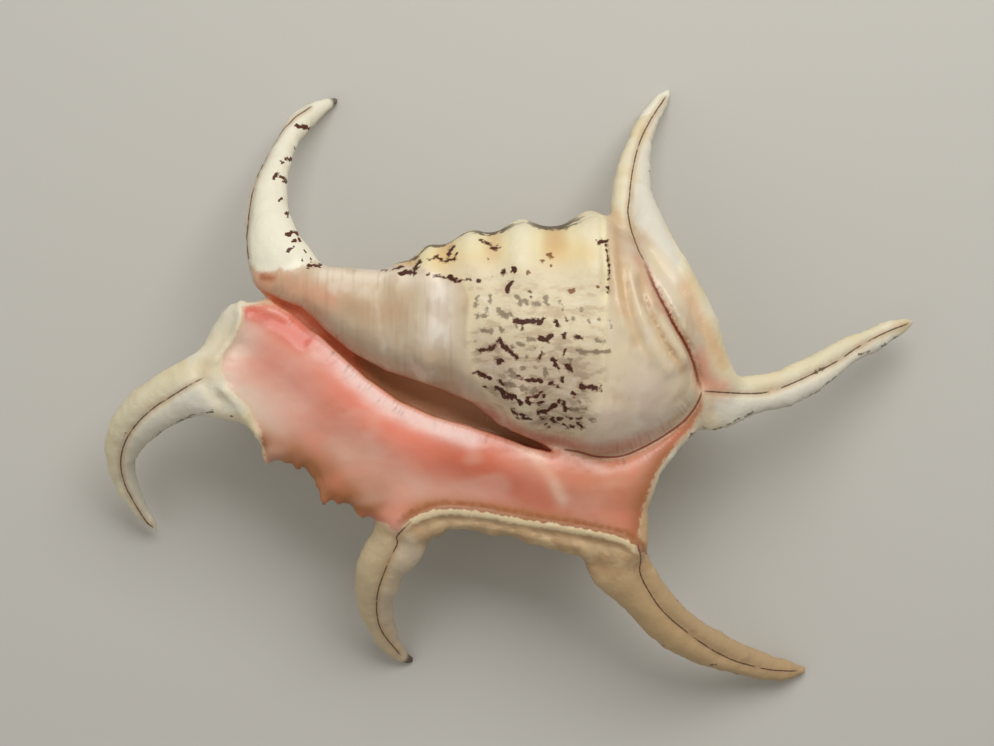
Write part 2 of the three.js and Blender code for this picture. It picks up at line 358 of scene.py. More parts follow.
# Small points and knobs along the margins: root x, y, z, direction x, y, length, root radius.
TEETH = (
    (-63.3, -18.4, 38.5, 0.1, -1.0, 2.6, 1.2),
    (-58.3, -19.2, 39.0, 0.1, -1.0, 1.5, 1.0),
    (-55.5, -20.2, 39.0, 0.1, -1.0, 2.1, 1.2),
    (-51.6, -22.3, 39.0, 0.5, -0.9, 2.3, 1.2),
    (-49.4, -26.0, 39.0, 0.7, -0.7, 1.4, 1.0),
    (-48.4, -28.4, 39.0, -0.1, -1.0, 2.9, 1.5),
    (-44.8, -29.6, 39.0, -0.3, -1.0, 1.4, 1.0),
    (-39.0, -32.8, 38.5, 0.3, -1.0, 1.4, 1.6),
    (-69.4, 20.4, 42.4, -0.1, 1.0, 1.2, 1.5),
    (46.8, 17.6, 40.0, 1.0, 0.5, 1.2, 2.4),
    (50.0, 12.0, 39.0, 1.0, 0.4, 1.4, 2.4),
    (53.2, 5.6, 38.0, 1.0, 0.3, 1.6, 2.2),
    (43.3, 25.6, 40.0, 1.0, 0.4, 0.8, 2.2),
    (39.4, 33.4, 39.0, 1.0, 0.4, 0.8, 2.2),
)

# Creases where a spine's folded sheet has closed on itself.
CREASES = {
    "siphonal": (
        (-67.6, 31.7),
        (-68.5, 37.4),
        (-68.5, 42.7),
        (-67.8, 50.9),
        (-66.2, 58.1),
        (-63.5, 65.4),
        (-59.6, 71.2),
        (-54.2, 76.4),
    ),
    "left": (
        (-78.6, 2.1),
        (-85.1, -1.5),
        (-93.3, -6.4),
        (-99.7, -12.3),
        (-103.6, -19.3),
        (-104.0, -27.0),
        (-100.6, -36.4),
        (-98.2, -39.6),
    ),
    "lower left": (
        (-25.8, -34.6),
        (-29.8, -38.9),
        (-29.9, -41.2),
        (-32.6, -46.8),
        (-35.7, -56.0),
        (-35.5, -65.5),
        (-30.3, -75.0),
    ),
    "lower right": (
        (32.0, -40.5),
        (33.1, -45.1),
        (32.9, -48.2),
        (34.6, -52.2),
        (39.1, -59.0),
        (46.0, -65.3),
        (53.9, -71.2),
        (60.9, -74.9),
        (70.1, -77.9),
        (79.7, -79.1),
    ),
    "right": (
        (108.2, 16.8),
        (100.2, 13.9),
        (92.0, 10.0),
        (86.0, 6.3),
        (80.7, 3.8),
        (73.9, 0.8),
        (67.1, -1.6),
        (61.8, -2.2),
        (54.4, -1.9),
        (48.4, -1.5),
    ),
    "hind": (
        (42.9, 80.0),
        (37.4, 71.4),
        (33.9, 64.2),
        (31.6, 56.2),
        (30.4, 49.0),
        (29.8, 43.6),
        (31.3, 35.6),
        (33.0, 31.3),
    ),
    "lip": (
        (48.1, -1.5),
        (46.8, -5.1),
        (44.0, -8.9),
        (40.7, -11.5),
        (36.3, -14.3),
        (32.5, -16.3),
        (28.7, -17.9),
        (24.8, -18.4),
        (21.0, -18.1),
        (17.2, -17.1),
        (12.6, -16.3),
    ),
}
# Each crease is a thin cut in a wide soft valley: depths and widths.
CREASE_DEPTH = (0.9, 0.9)
CREASE_WIDTH = (0.85, 2.6)
# Share of a crease's length over which it fades out at each end.
CREASE_FADE = 0.35
FOLD_FADE = 0.15
# The open slit between the callus and the hind fold.
SLIT = (
    (33.0, 31.3),
    (34.8, 26.2),
    (37.3, 21.1),
    (40.3, 15.3),
    (43.5, 10.2),
    (45.6, 5.9),
    (47.0, 1.8),
    (48.1, -1.5),
)
SLIT_DEPTH = 2.6
SLIT_WIDTH = 1.2

# Raised folds and hollows of the aperture side: line, height, width.
FOLDS = (
    (((-69.6, 21.2), (-69.4, 17.2), (-71.0, 12.8), (-74.0, 9.0), (-77.4, 4.4)), 1.9, 1.2),
    (((-75.5, 0.2), (-71.4, -3.3), (-69.2, -6.4), (-67.4, -10.2), (-64.6, -15.0)), 1.9, 1.3),
    (((-78.5, 6.5), (-80.0, 3.0), (-77.0, -1.5), (-73.5, -5.0)), -1.0, 1.6),
    (((24.6, 41.5), (25.0, 31.0), (26.0, 21.0), (28.5, 10.0)), 0.9, 1.7),
    (((28.8, 41.0), (29.8, 26.0), (32.6, 15.5), (37.0, 6.5), (40.0, 1.5)), 1.5, 1.9),
    (((32.8, 26.0), (35.4, 18.0), (39.6, 11.0), (44.6, 3.8)), 1.6, 1.4),
    (((26.6, 43.0), (27.2, 28.0), (29.0, 17.0), (33.0, 7.0)), -0.9, 1.2),
    (((30.8, 29.0), (33.0, 19.8), (37.2, 11.4), (42.0, 4.4)), -1.0, 0.9),
    (((22.9, 44.0), (22.9, 31.0), (23.3, 20.0)), -1.4, 1.0),
    (((-62.8, 18.6), (-58.0, 16.6), (-54.5, 14.2), (-51.0, 11.0)), -0.9, 2.6),
    (((-66.0, 21.0), (-61.0, 19.2), (-56.0, 16.6)), 0.8, 1.5),
    (((-20.0, -36.4), (-8.0, -36.2), (2.0, -38.2), (12.0, -40.3), (22.0, -42.6)), 0.7, 0.8),
    (((12.0, 24.0), (12.2, 14.0), (12.8, 4.0)), 0.35, 0.9),
    (((14.8, 22.0), (15.0, 13.0), (15.4, 6.0)), 0.3, 0.8),
)
# How far the callus stands over the whorl at the right of the window.
CALLUS_STEP = 0.4
CALLUS_STEP_FROM = 22.5
CALLUS_STEP_TO = 27.0
# The cream bead on the lower margin, and the step down to the layer below it.
BEAD = (
    (-29.6, -38.4),
    (-25.8, -34.8),
    (-21.2, -32.8),
    (-16.1, -32.2),
    (-8.4, -32.9),
    (1.8, -34.8),
    (12.1, -36.4),
    (22.3, -38.2),
    (28.7, -39.9),
    (32.2, -42.4),
)
BEAD_HEIGHT = 0.8
BEAD_WIDTH = 0.9
BEAD_STEP = 0.9
BEAD_WAVE = (0.24, 4.6)

# Edge of the pink glaze on the lip.
GLAZE = (
    (-62.5, 21.6),
    (-69.0, 20.2),
    (-69.2, 16.0),
    (-71.0, 12.0),
    (-74.0, 7.5),
    (-74.6, 3.4),
    (-72.4, -0.6),
    (-67.6, -5.6),
    (-65.2, -12.0),
    (-64.0, -20.0),
    (-56.0, -24.0),
    (-50.0, -34.0),
    (-40.0, -36.0),
    (-33.0, -36.0),
    (-29.8, -39.2),
    (-26.4, -34.6),
    (-21.4, -31.8),
    (-16.1, -31.2),
    (-8.4, -31.8),
    (1.8, -33.7),
    (12.1, -35.3),
    (22.3, -37.0),
    (28.7, -38.6),
    (32.6, -41.6),
    (33.4, -33.0),
    (35.0, -28.0),
    (37.2, -22.0),
    (41.8, -15.6),
    (46.2, -11.0),
    (49.0, -6.0),
    (48.1, -1.5),
    (46.8, -5.1),
    (40.7, -11.5),
    (32.5, -16.3),
    (24.8, -18.4),
    (17.2, -17.1),
    (9.9, -15.4),
    (-1.2, -12.4),
    (-10.5, -10.2),
    (-20.7, -7.2),
    (-29.2, -3.4),
    (-37.6, 2.6),
    (-46.1, 10.4),
    (-54.6, 18.0),
)
# The window in the callus where the whorl's own markings show through.
WINDOW = (
    (-33.4, 31.0),
    (-21.4, 28.3),
    (-13.4, 26.0),
    (-11.6, 21.3),
    (-12.2, 11.3),
    (-10.4, 2.0),
    (-5.0, -5.6),
    (1.0, -10.4),
    (8.0, -13.0),
    (16.0, -13.4),
    (21.4, -10.4),
    (23.0, -3.6),
    (23.8, 11.3),
    (24.2, 29.1),
    (24.9, 50.0),
    (0.0, 60.0),
    (-33.0, 50.0),
)

# Pigment strokes on the side that faces up: half width, then x and y along the stroke.
WHORL_MARKS = (
    (0.64, 0.7, 16.0, 2.6, 15.5, 4.9, 16.0, 6.6, 15.8),
    (0.43, 6.6, 15.8, 7.4, 16.7),
    (0.28, 2.6, 15.5, 2.2, 14.3),
    (0.48, -1.4, 23.8, -1.1, 24.8, -0.6, 25.4),
    (0.33, 4.2, 23.2, 4.3, 22.2),
    (0.46, -8.5, 8.8, -5.8, 8.8, -4.8, 9.8, -3.4, 11.3, -2.3, 9.6, -1.1, 9.1, -0.1, 7.8, 0.9, 7.1),
    (0.66, -4.0, 6.1, -3.1, 6.1),
    (0.38, -9.6, 3.4, -7.3, 2.6, -5.8, 1.6),
    (0.31, -7.6, -0.2, -6.6, -0.4),
    (0.26, -3.3, 1.3, -2.5, 0.1),
    (0.51, -4.0, -0.7, -3.0, -1.2, -2.0, -2.4),
    (0.71, -1.8, -2.7, -0.0, -2.8),
    (0.46, -0.0, -2.9, 1.2, -3.7, 2.0, -4.2),
    (0.41, 1.7, 2.0, 3.4, 1.4, 5.2, 1.1, 6.9, 1.0),
    (0.31, 7.1, 8.3, 6.6, 6.8),
    (0.48, 9.8, 6.6, 10.6, 5.3, 11.2, 4.1),
    (0.66, 13.3, 4.8, 14.3, 3.8),
    (0.31, 12.8, 8.8, 12.4, 7.6),
    (0.38, 15.5, 11.8, 16.5, 12.0),
    (0.41, 10.6, 15.7, 10.8, 15.2),
    (0.26, 13.0, 16.8, 13.2, 16.2),
    (0.38, 12.5, 12.8, 12.8, 12.0),
    (0.66, 6.8, 11.5, 8.1, 11.3, 9.1, 12.5),
    (0.31, 11.9, 1.9, 12.0, 1.1),
    (0.51, 16.8, -0.1, 18.6, -0.3, 20.3, -0.6, 21.5, -0.6),
    (0.28, 8.9, 0.6, 9.9, 0.4, 10.9, -0.1),
    (0.48, 6.2, -6.8, 8.2, -6.7, 9.2, -5.9, 10.5, -4.8),
    (0.26, 11.2, -3.6, 11.3, -4.4),
    (0.56, 12.4, -4.6, 13.0, -6.2),
    (0.38, 3.2, -3.9, 4.2, -4.4, 5.0, -4.2),
    (0.46, 6.2, -4.4, 7.0, -4.2),
    (0.23, 4.0, -2.9, 5.7, -2.9, 6.9, -1.6, 7.7, -2.9),
    (0.31, 14.6, -2.1, 15.4, -2.4),
    (0.38, 17.5, -6.7, 17.6, -6.7),
    (0.36, -0.0, -6.2, 0.7, -7.2, 1.2, -7.7),
    (0.33, 2.0, -7.5, 3.3, -8.2, 4.5, -8.5),
    (0.31, 7.0, -8.2, 8.0, -8.5),
    (0.41, 9.8, -8.5, 10.5, -9.0),
    (0.36, 11.0, -8.5, 12.3, -8.2),
    (0.28, 13.8, -7.9, 14.5, -8.4),
    (0.31, 16.0, -8.4, 16.7, -8.3),
    (0.26, 12.6, -9.8, 13.6, -10.3, 14.3, -10.5),
    (0.36, 16.3, -9.7, 17.1, -10.5, 17.8, -10.5),
    (0.2, 8.1, -9.9, 9.1, -10.3),
    (0.2, 15.1, -10.5, 15.2, -10.5),
    (0.51, 21.4, 35.8, 22.9, 36.1),
    (0.2, 23.1, 35.3, 23.5, 32.7, 23.8, 28.7, 23.8, 26.7),
    (0.28, 23.5, 24.2, 23.5, 22.9),
    (0.26, -8.4, 36.9, -6.3, 36.1, -5.3, 35.0),
    (0.46, -4.8, 34.7, -4.0, 34.6),
    (0.31, -21.0, 31.7, -19.2, 32.5, -18.2, 31.4, -16.7, 31.4, -14.9, 31.6, -14.2, 33.2),
    (0.51, -28.4, 28.5, -26.0, 28.6, -25.0, 28.4, -24.6, 29.7, -23.8, 31.2),
    (0.41, -16.1, 27.1, -15.6, 27.1),
    (0.2, -33.2, 29.4, -32.1, 29.4),
    (0.2, -30.3, 29.6, -27.7, 30.1),
    (
        0.2, -21.4, 27.8, -18.9, 27.5, -17.1, 26.7, -14.6, 26.4, -13.6, 26.1, -12.8, 26.4, -10.8,
        26.4,
    ),
    (0.2, -8.8, 26.1, -8.0, 26.1),
    (0.41, -16.2, 33.2, -15.3, 34.9),
    (0.51, 0.2, 29.1, 0.4, 28.3),
    (0.38, -2.3, 28.6, -2.3, 27.8),
)
CANAL_MARKS = (
    (0.51, -58.0, 69.7, -53.9, 69.5),
    (0.46, -53.9, 69.2, -51.8, 69.0),
    (0.51, -53.4, 68.2, -53.9, 67.4),
    (0.56, -57.4, 63.7, -57.2, 63.7),
    (0.41, -60.8, 58.6, -60.7, 58.8),
    (0.56, -60.0, 59.8, -57.7, 59.7),
    (0.31, -62.5, 54.0, -61.8, 55.3),
    (0.41, -60.6, 54.4, -60.4, 54.3),
    (0.41, -59.9, 53.6, -59.7, 53.4),
    (0.26, -60.6, 47.5, -59.9, 48.6),
    (0.41, -58.4, 44.5, -58.1, 43.6),
    (0.46, -57.8, 38.6, -56.0, 39.2),
    (0.31, -56.5, 36.7, -55.6, 37.3),
    (0.33, -57.1, 34.2, -55.9, 35.5),
    (0.26, -55.7, 39.3, -54.6, 37.2),
    (0.26, -53.2, 34.4, -53.1, 34.2),
    (0.26, -53.8, 32.1, -53.7, 31.9),
    (0.33, -51.8, 32.4, -51.7, 32.1),
    (0.41, -52.5, 30.3, -51.1, 30.7, -49.4, 30.5),
    (0.41, -49.4, 71.6, -48.7, 72.1),
    (0.26, -56.5, 62.1, -56.0, 63.5),
)
EDGE_MARKS = (
    (0.21, -76.8, -6.8, -80.1, -7.3, -82.5, -7.7, -85.4, -9.0, -90.9, -12.0, -93.8, -13.8),
    (0.34, -99.3, -20.7, -100.1, -21.3),
    (0.29, -98.5, -21.3, -98.0, -26.6, -96.2, -31.5, -93.8, -37.3),
    (0.26, -101.2, -12.6, -101.2, -12.8),
    (0.21, -100.4, -26.8, -100.2, -27.1),
    (0.21, -93.3, 3.6, -92.2, 4.0),
    (0.21, -72.2, -7.9, -71.3, -8.2),
    (0.23, 61.8, -7.0, 57.6, -9.0, 55.1, -10.3),
    (0.23, 49.7, -12.1, 45.8, -12.3, 45.1, -13.3),
    (0.23, 48.3, -11.1, 51.5, -11.4, 55.3, -11.3),
    (0.16, 70.7, -6.1, 76.0, -4.5, 82.0, -0.3, 85.5, 2.3),
    (0.18, 92.0, 7.9, 95.6, 9.0),
    (0.26, 98.9, 9.9, 104.3, 12.8),
    (0.36, 77.3, 2.1, 82.0, 4.4),
    (0.31, 43.7, -56.9, 44.5, -57.0),
    (0.31, 38.7, -68.8, 39.8, -69.2),
    (0.36, 53.6, -75.1, 54.4, -75.2),
    (0.26, 63.7, -68.8, 64.2, -68.9),
    (0.23, 60.2, -78.4, 61.4, -79.1),
    (0.18, -27.2, -70.2, -25.9, -72.1),
    (0.21, 40.0, 70.8, 40.0, 69.8),
    (0.21, 36.0, 56.1, 36.0, 55.3),
)
GREY_MARKS = (
    (0.51, -9.0, 21.8, -9.5, 20.1),
    (0.46, -5.8, 22.0, -5.8, 20.3),
    (0.41, -6.5, 19.3, -6.8, 17.8),
    (0.56, -9.0, 17.3, -7.3, 17.3),
    (0.61, -7.3, 13.6, -5.5, 13.6),
    (0.51, 0.7, 22.2, 1.7, 21.2, 1.7, 20.2),
    (0.51, 2.7, 21.2, 3.2, 20.2),
    (0.51, 5.1, 20.5, 6.1, 20.2),
    (0.51, 7.9, 21.7, 8.4, 20.2),
    (0.77, -3.6, 18.3, -1.6, 17.0),
    (0.51, -0.6, 17.8, 0.4, 16.2, 0.9, 14.5),
    (0.23, 11.6, 21.0, 12.5, 18.7),
    (0.31, 15.8, 19.2, 17.0, 18.5),
    (0.51, 18.5, 16.0, 19.0, 15.5),
    (0.31, 21.0, 16.5, 21.1, 16.5),
    (0.51, 14.8, 16.7, 15.0, 15.5),
    (0.51, 15.8, 8.8, 17.0, 8.3, 19.0, 8.3, 21.5, 8.3, 23.4, 8.3),
    (0.51, 20.7, 11.0, 22.2, 10.8),
    (0.38, -9.5, 11.1, -9.3, 11.1),
    (0.38, -3.3, 14.3, -2.6, 13.5),
    (0.61, 2.2, -0.6, 4.2, -1.4, 5.4, -1.1),
    (0.46, 14.0, 6.3, 14.0, 5.3),
    (0.51, -2.1, 0.6, 0.4, -0.1),
    (0.26, 23.9, 15.7, 24.1, 14.5),
    (0.46, 3.6, 11.5, 5.1, 11.3),
    (0.41, 1.2, 10.3, 2.4, 9.8),
    (0.26, 5.1, 9.3, 5.3, 9.3),
    (0.2, 3.1, 7.6, 3.4, 7.1),
    (0.31, 1.9, 4.6, 2.7, 4.3),
    (0.38, 5.4, 4.3, 5.5, 4.3),
    (0.61, 8.1, 4.1, 8.1, 2.4),
    (0.71, -0.6, 3.6, -0.1, 2.4),
    (0.38, -0.6, 9.8, -0.3, 8.1),
    (0.26, 17.1, -1.4, 18.6, -1.6),
    (0.33, 14.2, -5.9, 16.2, -5.9, 17.7, -5.9),
    (0.31, 15.9, -3.9, 16.6, -4.1),
    (0.41, 19.2, -8.7, 20.2, -8.4),
)
AMBER_MARKS = (
    (0.61, 9.0, 33.0, 9.5, 31.6),
    (0.46, 7.0, 30.9, 7.1, 30.9),
    (0.23, 9.5, 29.9, 9.4, 29.3),
    (0.33, -5.3, 27.1, -5.2, 27.1),
    (0.31, 3.7, 28.0, 3.7, 27.3),
    (0.33, 20.8, 24.5, 20.9, 24.5),
    (0.61, 14.1, 23.5, 14.8, 23.5),
    (0.31, -6.1, 32.0, -6.1, 31.5),
)

# Soft tints of the glaze and the callus, a few of them painted shade: line, half width, colour,
# strength.
LIP_TINTS = {
    "salmon_middle": (
        ((-42.7, -2.5), (-32.6, -7.6), (-21.1, -15.2), (-8.4, -21.6)), 8.0, "#ee7f63", 0.8
    ),
    "deep_right": (((-14.7, -17.8), (-3.3, -23.6), (8.2, -29.3)), 7.0, "#cb6a4b", 0.75),
    "salmon_right": (((18.4, -21.6), (27.2, -24.1), (30.0, -32.0)), 9.0, "#cb7952", 0.75),
    "pale_left": (
        ((-71.6, 14.1), (-71.8, 5.1), (-68.4, -2.5), (-64.4, -10.2)), 6.0, "#e6cdb9", 0.9
    ),
    "pink_left": (((-58.0, 11.0), (-55.0, 2.0), (-46.0, -4.0)), 7.0, "#e6927c", 0.6),
    "dusty_low": (
        ((-47.0, -12.0), (-32.8, -24.0), (-21.2, -27.5), (-12.0, -29.0)), 5.0, "#d6a088", 0.7
    ),
    "streak": (((1.9, -13.8), (8.2, -21.1), (12.6, -29.3)), 1.7, "#eec3aa", 0.8),
    "tan_margin": (
        ((-65.7, -17.1), (-57.3, -19.8), (-50.1, -23.9), (-45.6, -29.0), (-37.9, -31.8)),
        7.0,
        "#a8693f",
        0.95,
    ),
    "brown_margin": (
        ((-66.5, -15.5), (-57.3, -18.5), (-50.1, -22.6), (-45.6, -27.6), (-37.9, -30.6)),
        4.0,
        "#9c6238",
        0.75,
    ),
    "bottom_tan": (
        (
            (-26.0, -32.6),
            (-21.2, -30.6),
            (-11.0, -31.2),
            (4.4, -33.2),
            (17.2, -35.7),
            (30.5, -39.2),
        ),
        1.9,
        "#b97a48",
        0.85,
    ),
    "right_rim": (
        ((31.9, -38.4), (33.2, -30.3), (36.3, -21.4), (42.7, -12.2), (47.0, -5.8)),
        3.2,
        "#ae6c43",
        0.9,
    ),
    "slot_band": (
        ((-50.5, 12.3), (-42.9, 4.4), (-33.9, -3.8), (-22.4, -9.8), (-10.4, -13.6)),
        2.6,
        "#e3c3b8",
        0.85,
    ),
    "fold_red": (
        ((-66.5, 18.7), (-62.5, 16.9), (-58.0, 14.6), (-53.5, 11.3)), 2.6, "#d0563f", 0.85
    ),
    "fold_red_end": (((-57.0, 17.5), (-52.0, 12.5), (-47.0, 6.0)), 3.0, "#dd7460", 0.6),
}
CALLUS_TINTS = {
    "callus_grey": (
        ((-46.5, 16.6), (-36.2, 10.2), (-23.5, 4.5), (-13.4, 0.8)), 5.5, "#bba48c", 0.75
    ),
    "callus_peach": (((-63.6, 27.0), (-56.1, 25.0), (-46.6, 21.6)), 3.6, "#d99c78", 0.8),
    "callus_tan": (((-41.0, 20.5), (-35.6, 18.0), (-29.0, 18.5)), 3.6, "#bd9871", 0.65),
    "callus_white": (((-18.3, 23.4), (-18.3, 18.3), (-18.8, 12.6)), 3.4, "#f1e8da", 0.85),
    "callus_top": (((-48.0, 28.5), (-35.0, 27.6), (-20.0, 27.2)), 2.2, "#f0e2cd", 0.7),
    "slot_pink": (
        ((-56.0, 18.0), (-50.0, 12.6), (-38.8, 4.4), (-24.6, -1.6), (-8.6, -6.5), (0.0, -11.0)),
        2.4,
        "#c4806c",
        0.75,
    ),
    "low_pink": (
        ((1.8, -11.4), (12.0, -14.6), (22.0, -15.9), (33.3, -14.2)), 2.2, "#b9725e", 0.75
    ),
    "right_low": (
        ((31.6, -0.4), (35.4, -7.7), (32.3, -11.9), (22.0, -9.0)), 6.0, "#d8c3b4", 0.6
    ),
    "window_tan": (((-8.8, 22.3), (-3.3, 18.3), (-3.3, 11.8)), 3.6, "#c9a074", 0.6),
    "canal_spot": (((-64.0, 27.6), (-61.4, 27.2)), 1.0, "#a35a2e", 0.9),
    "slit_pink": (((47.5, 6.9), (49.3, 1.0), (53.4, -0.8)), 2.6, "#dd9c80", 0.8),
    "slit_flank": (((31.2, 31.9), (34.1, 25.4), (37.0, 19.0)), 1.4, "#cf8a66", 0.5),
    # Painted shade: the next three tints are tan along the valleys between the hind folds.
    "hind_valley_shade": (((26.6, 44.0), (25.9, 36.9), (26.1, 28.7), (27.4, 18.7)), 2.0, "#c99a62", 0.5),
    "fold_valley_shade": (((31.4, 27.2), (33.3, 19.5), (37.6, 11.0), (42.0, 4.4)), 1.2, "#c69562", 0.45),
    "fold_mid_valley_shade": (((27.6, 27.7), (29.4, 15.7), (33.4, 7.3)), 1.6, "#d0ab7c", 0.4),
    "flange_tan": (((43.5, 25.0), (47.5, 16.2), (50.7, 11.2), (53.5, 5.4)), 1.8, "#d9ac80", 0.6),
    "lump_yellow": (((18.0, 32.7), (11.7, 30.9)), 3.4, "#e9c684", 0.6),
    "lump_yellow_left": (((-8.3, 30.2), (-18.5, 31.2)), 3.0, "#e9c684", 0.6),
}
# Where the ivory of the canal's spine ends against the callus.
CANAL_EDGE = (
    (-70.5, 34.5),
    (-68.0, 31.6),
    (-63.6, 28.6),
    (-60.4, 29.6),
    (-56.8, 29.3),
    (-51.3, 31.0),
    (-46.0, 33.5),
)

# ---- Small tools ----------------------------------------------------------------------------


def smooth_rows(rows, count):
    """Reads a table of rows along a smooth curve through them."""
    rows = np.asarray(rows, float)
    last = len(rows) - 1
    at = np.linspace(0, last, count)
    start = np.clip(at.astype(int), 0, last - 1)
    t = (at - start)[:, None]
    ends = (2 * rows[0] - rows[1], rows, 2 * rows[-1] - rows[-2])
    padded = np.vstack(ends)
    before, here, there, after = (padded[start + n] for n in range(4))
    return 0.5 * (
        2 * here
        + (there - before) * t
        + (2 * before - 5 * here + 4 * there - after) * t**2
        + (3 * here - before - 3 * there + after) * t**3
    )


def ramp(value, low, high):
    """0 below low, 1 above high, with an even rise between."""
    t = np.clip((value - low) / (high - low), 0, 1)
    return t * t * (3 - 2 * t)


def soft_min(a, b, reach):
    """The smaller of two distances, rounded where they meet."""
    close = np.maximum(reach - np.abs(a - b), 0) / reach
    return np.minimum(a, b) - close * close * reach / 4


def line_distance(x, y, line, count=32):
    """Signed distance (left of the line is positive) and share of the line's length."""
    path = smooth_rows(line, count)
    shape = np.broadcast(x, y).shape
    nearest = np.full(shape, np.inf)
    signed = np.zeros(shape)
    share = np.zeros(shape)
    for n, (a, b) in enumerate(zip(path[:-1], path[1:])):
        dx, dy = b - a
        along = np.clip(((x - a[0]) * dx + (y - a[1]) * dy) / (dx * dx + dy * dy), 0, 1)
        off_x = x - a[0] - along * dx
        off_y = y - a[1] - along * dy
        gap = np.hypot(off_x, off_y)
        closer = gap < nearest
        side = np.sign(dx * off_y - dy * off_x)
        nearest = np.where(closer, gap, nearest)
        signed = np.where(closer, gap * side, signed)
        share = np.where(closer, (n + along) / (count - 1), share)
    return signed, share


def outline_distance(x, y, outline):
    """Distance to a closed outline, negative inside it."""
    ring = np.asarray(outline, float)
    shape = np.broadcast(x, y).shape
    nearest = np.full(shape, np.inf)
    inside = np.zeros(shape, bool)
    for a, b in zip(ring, np.roll(ring, -1, axis=0)):
        dx, dy = b - a
        along = np.clip(((x - a[0]) * dx + (y - a[1]) * dy) / (dx * dx + dy * dy), 0, 1)
        gap = np.hypot(x - a[0] - along * dx, y - a[1] - along * dy)
        nearest = np.minimum(nearest, gap)
        if dy:
            crosses = (a[1] > y) != (b[1] > y)
            inside ^= crosses & (x < a[0] + (y - a[1]) * dx / dy)
    return np.where(inside, -nearest, nearest)


# ---- Distances to the shell's regions -------------------------------------------------------


def section_distance(rows, x, y, z, squareness=2.3):
    """Distance to a body whose upright sections are rounded ovals that change along x."""
    table = smooth_rows(rows, 160)
    slope = np.gradient(table[:, 2], table[:, 0])
    middle_y, half_width, middle_z, half_height, tilt = (
        np.interp(x, table[:, 0], column)
        for column in (table[:, 1], table[:, 2], table[:, 3], table[:, 4], slope)
    )
    off_y, off_z = y - middle_y, z - middle_z
    ratio = (
        np.abs(off_y / half_width) ** squareness + np.abs(off_z / half_height) ** squareness
    ) ** (1 / squareness) + 1e-3
    radius = np.hypot(off_y, off_z)
    across = radius * (1 - 1 / ratio) / np.sqrt(1 + tilt * tilt)
    beyond = np.maximum(np.maximum(table[0, 0] - x, x - table[-1, 0]), 0)
    return np.where(beyond > 0, np.hypot(np.maximum(across, 0), beyond), across)


def rib_height(x, y, z):
    """Height of the whorl's spiral ribs, which run round its back and die out under the callus."""
    table = smooth_rows(WHORL, 160)
    off_y = y - np.interp(x, table[:, 0], table[:, 1])
    off_z = z - np.interp(x, table[:, 0], table[:, 3])
    angle = np.arctan2(off_z, off_y)
    back = (1 - np.sin(angle)) / 2
    turned = np.where(angle < 0, -angle, 0) / np.pi
    knob = np.maximum(np.cos(KNOBS_PER_TURN * (angle + np.pi / 2)), 0)
    total = 0
    for middle, width, height, knob_height in RIBS:
        offset = x - middle + RIB_DRIFT * turned
        total = total + np.exp(-((offset / width) ** 2)) * (height + knob_height * knob * back)
    return total * ramp(back, 0.01, 0.1)


def whorl_distance(x, y, z):
    return section_distance(WHORL, x, y, z) - rib_height(x, y, z)


def tube_distance(rows, x, y, z, count=28):
    """Distance to a tapering tube with an oval section that stays level from side to side."""
    path = smooth_rows(rows, count)
    shape = np.broadcast(x, y, z).shape
    nearest = np.full(shape, np.inf, np.float32)
    result = np.full(shape, FAR, np.float32)
    for a, b in zip(path[:-1], path[1:]):
        step = b[:3] - a[:3]
        length = np.linalg.norm(step)
        along = np.clip(
            ((x - a[0]) * step[0] + (y - a[1]) * step[1] + (z - a[2]) * step[2]) / length**2, 0, 1
        )
        off = [axis - start - along * s for axis, start, s in zip((x, y, z), a, step)]
        gap = off[0] ** 2 + off[1] ** 2 + off[2] ** 2
        across = np.array((step[1], -step[0], 0)) / np.hypot(step[0], step[1])
        rise = np.cross(across, step / length)
        side = off[0] * across[0] + off[1] * across[1]
        up = off[0] * rise[0] + off[1] * rise[1] + off[2] * rise[2]
        half_width = a[3] + along * (b[3] - a[3])
        half_thickness = a[4] + along * (b[4] - a[4])
        ahead = gap - side**2 - up**2
        ratio = np.sqrt(
            (side / half_width) ** 2
            + (up / half_thickness) ** 2
            + np.maximum(ahead, 0) / half_thickness**2
        )
        ratio = np.maximum(ratio, 1e-3)
        closer = gap < nearest
        nearest = np.where(closer, gap, nearest)
        result = np.where(closer, np.sqrt(gap) * (1 - 1 / ratio), result)
    return result


def lip_distance(x, y, z):
    """Distance to the flared lip: a thick sheet with a round margin and a crown beside the slit."""
    outline = (*LIP_MARGIN, *LIP_ROOT, *LIP_SHEET_EDGE)
    edge = outline_distance(x, y, outline)
    inner = np.abs(line_distance(x, y, LIP_INNER_EDGE)[0])
    outer = np.abs(line_distance(x, y, LIP_MARGIN, 72)[0])
    share = inner / (inner + outer + 1e-6)
    crown = LIP_CROWN * np.exp(-(((inner - LIP_CROWN_AT) / LIP_CROWN_WIDTH) ** 2))
    top = LIP_TOP + crown - LIP_FALL * ramp(share, 0.1, 1)
    thin, thick = LIP_HALF_THICKNESS[1], LIP_HALF_THICKNESS[0]
    half = thick + (thin - thick) * share
    flat = np.abs(z - (top - half))
    past = np.maximum(edge + half, 0)
    return np.where(past > 0, np.hypot(past, flat), flat) - half


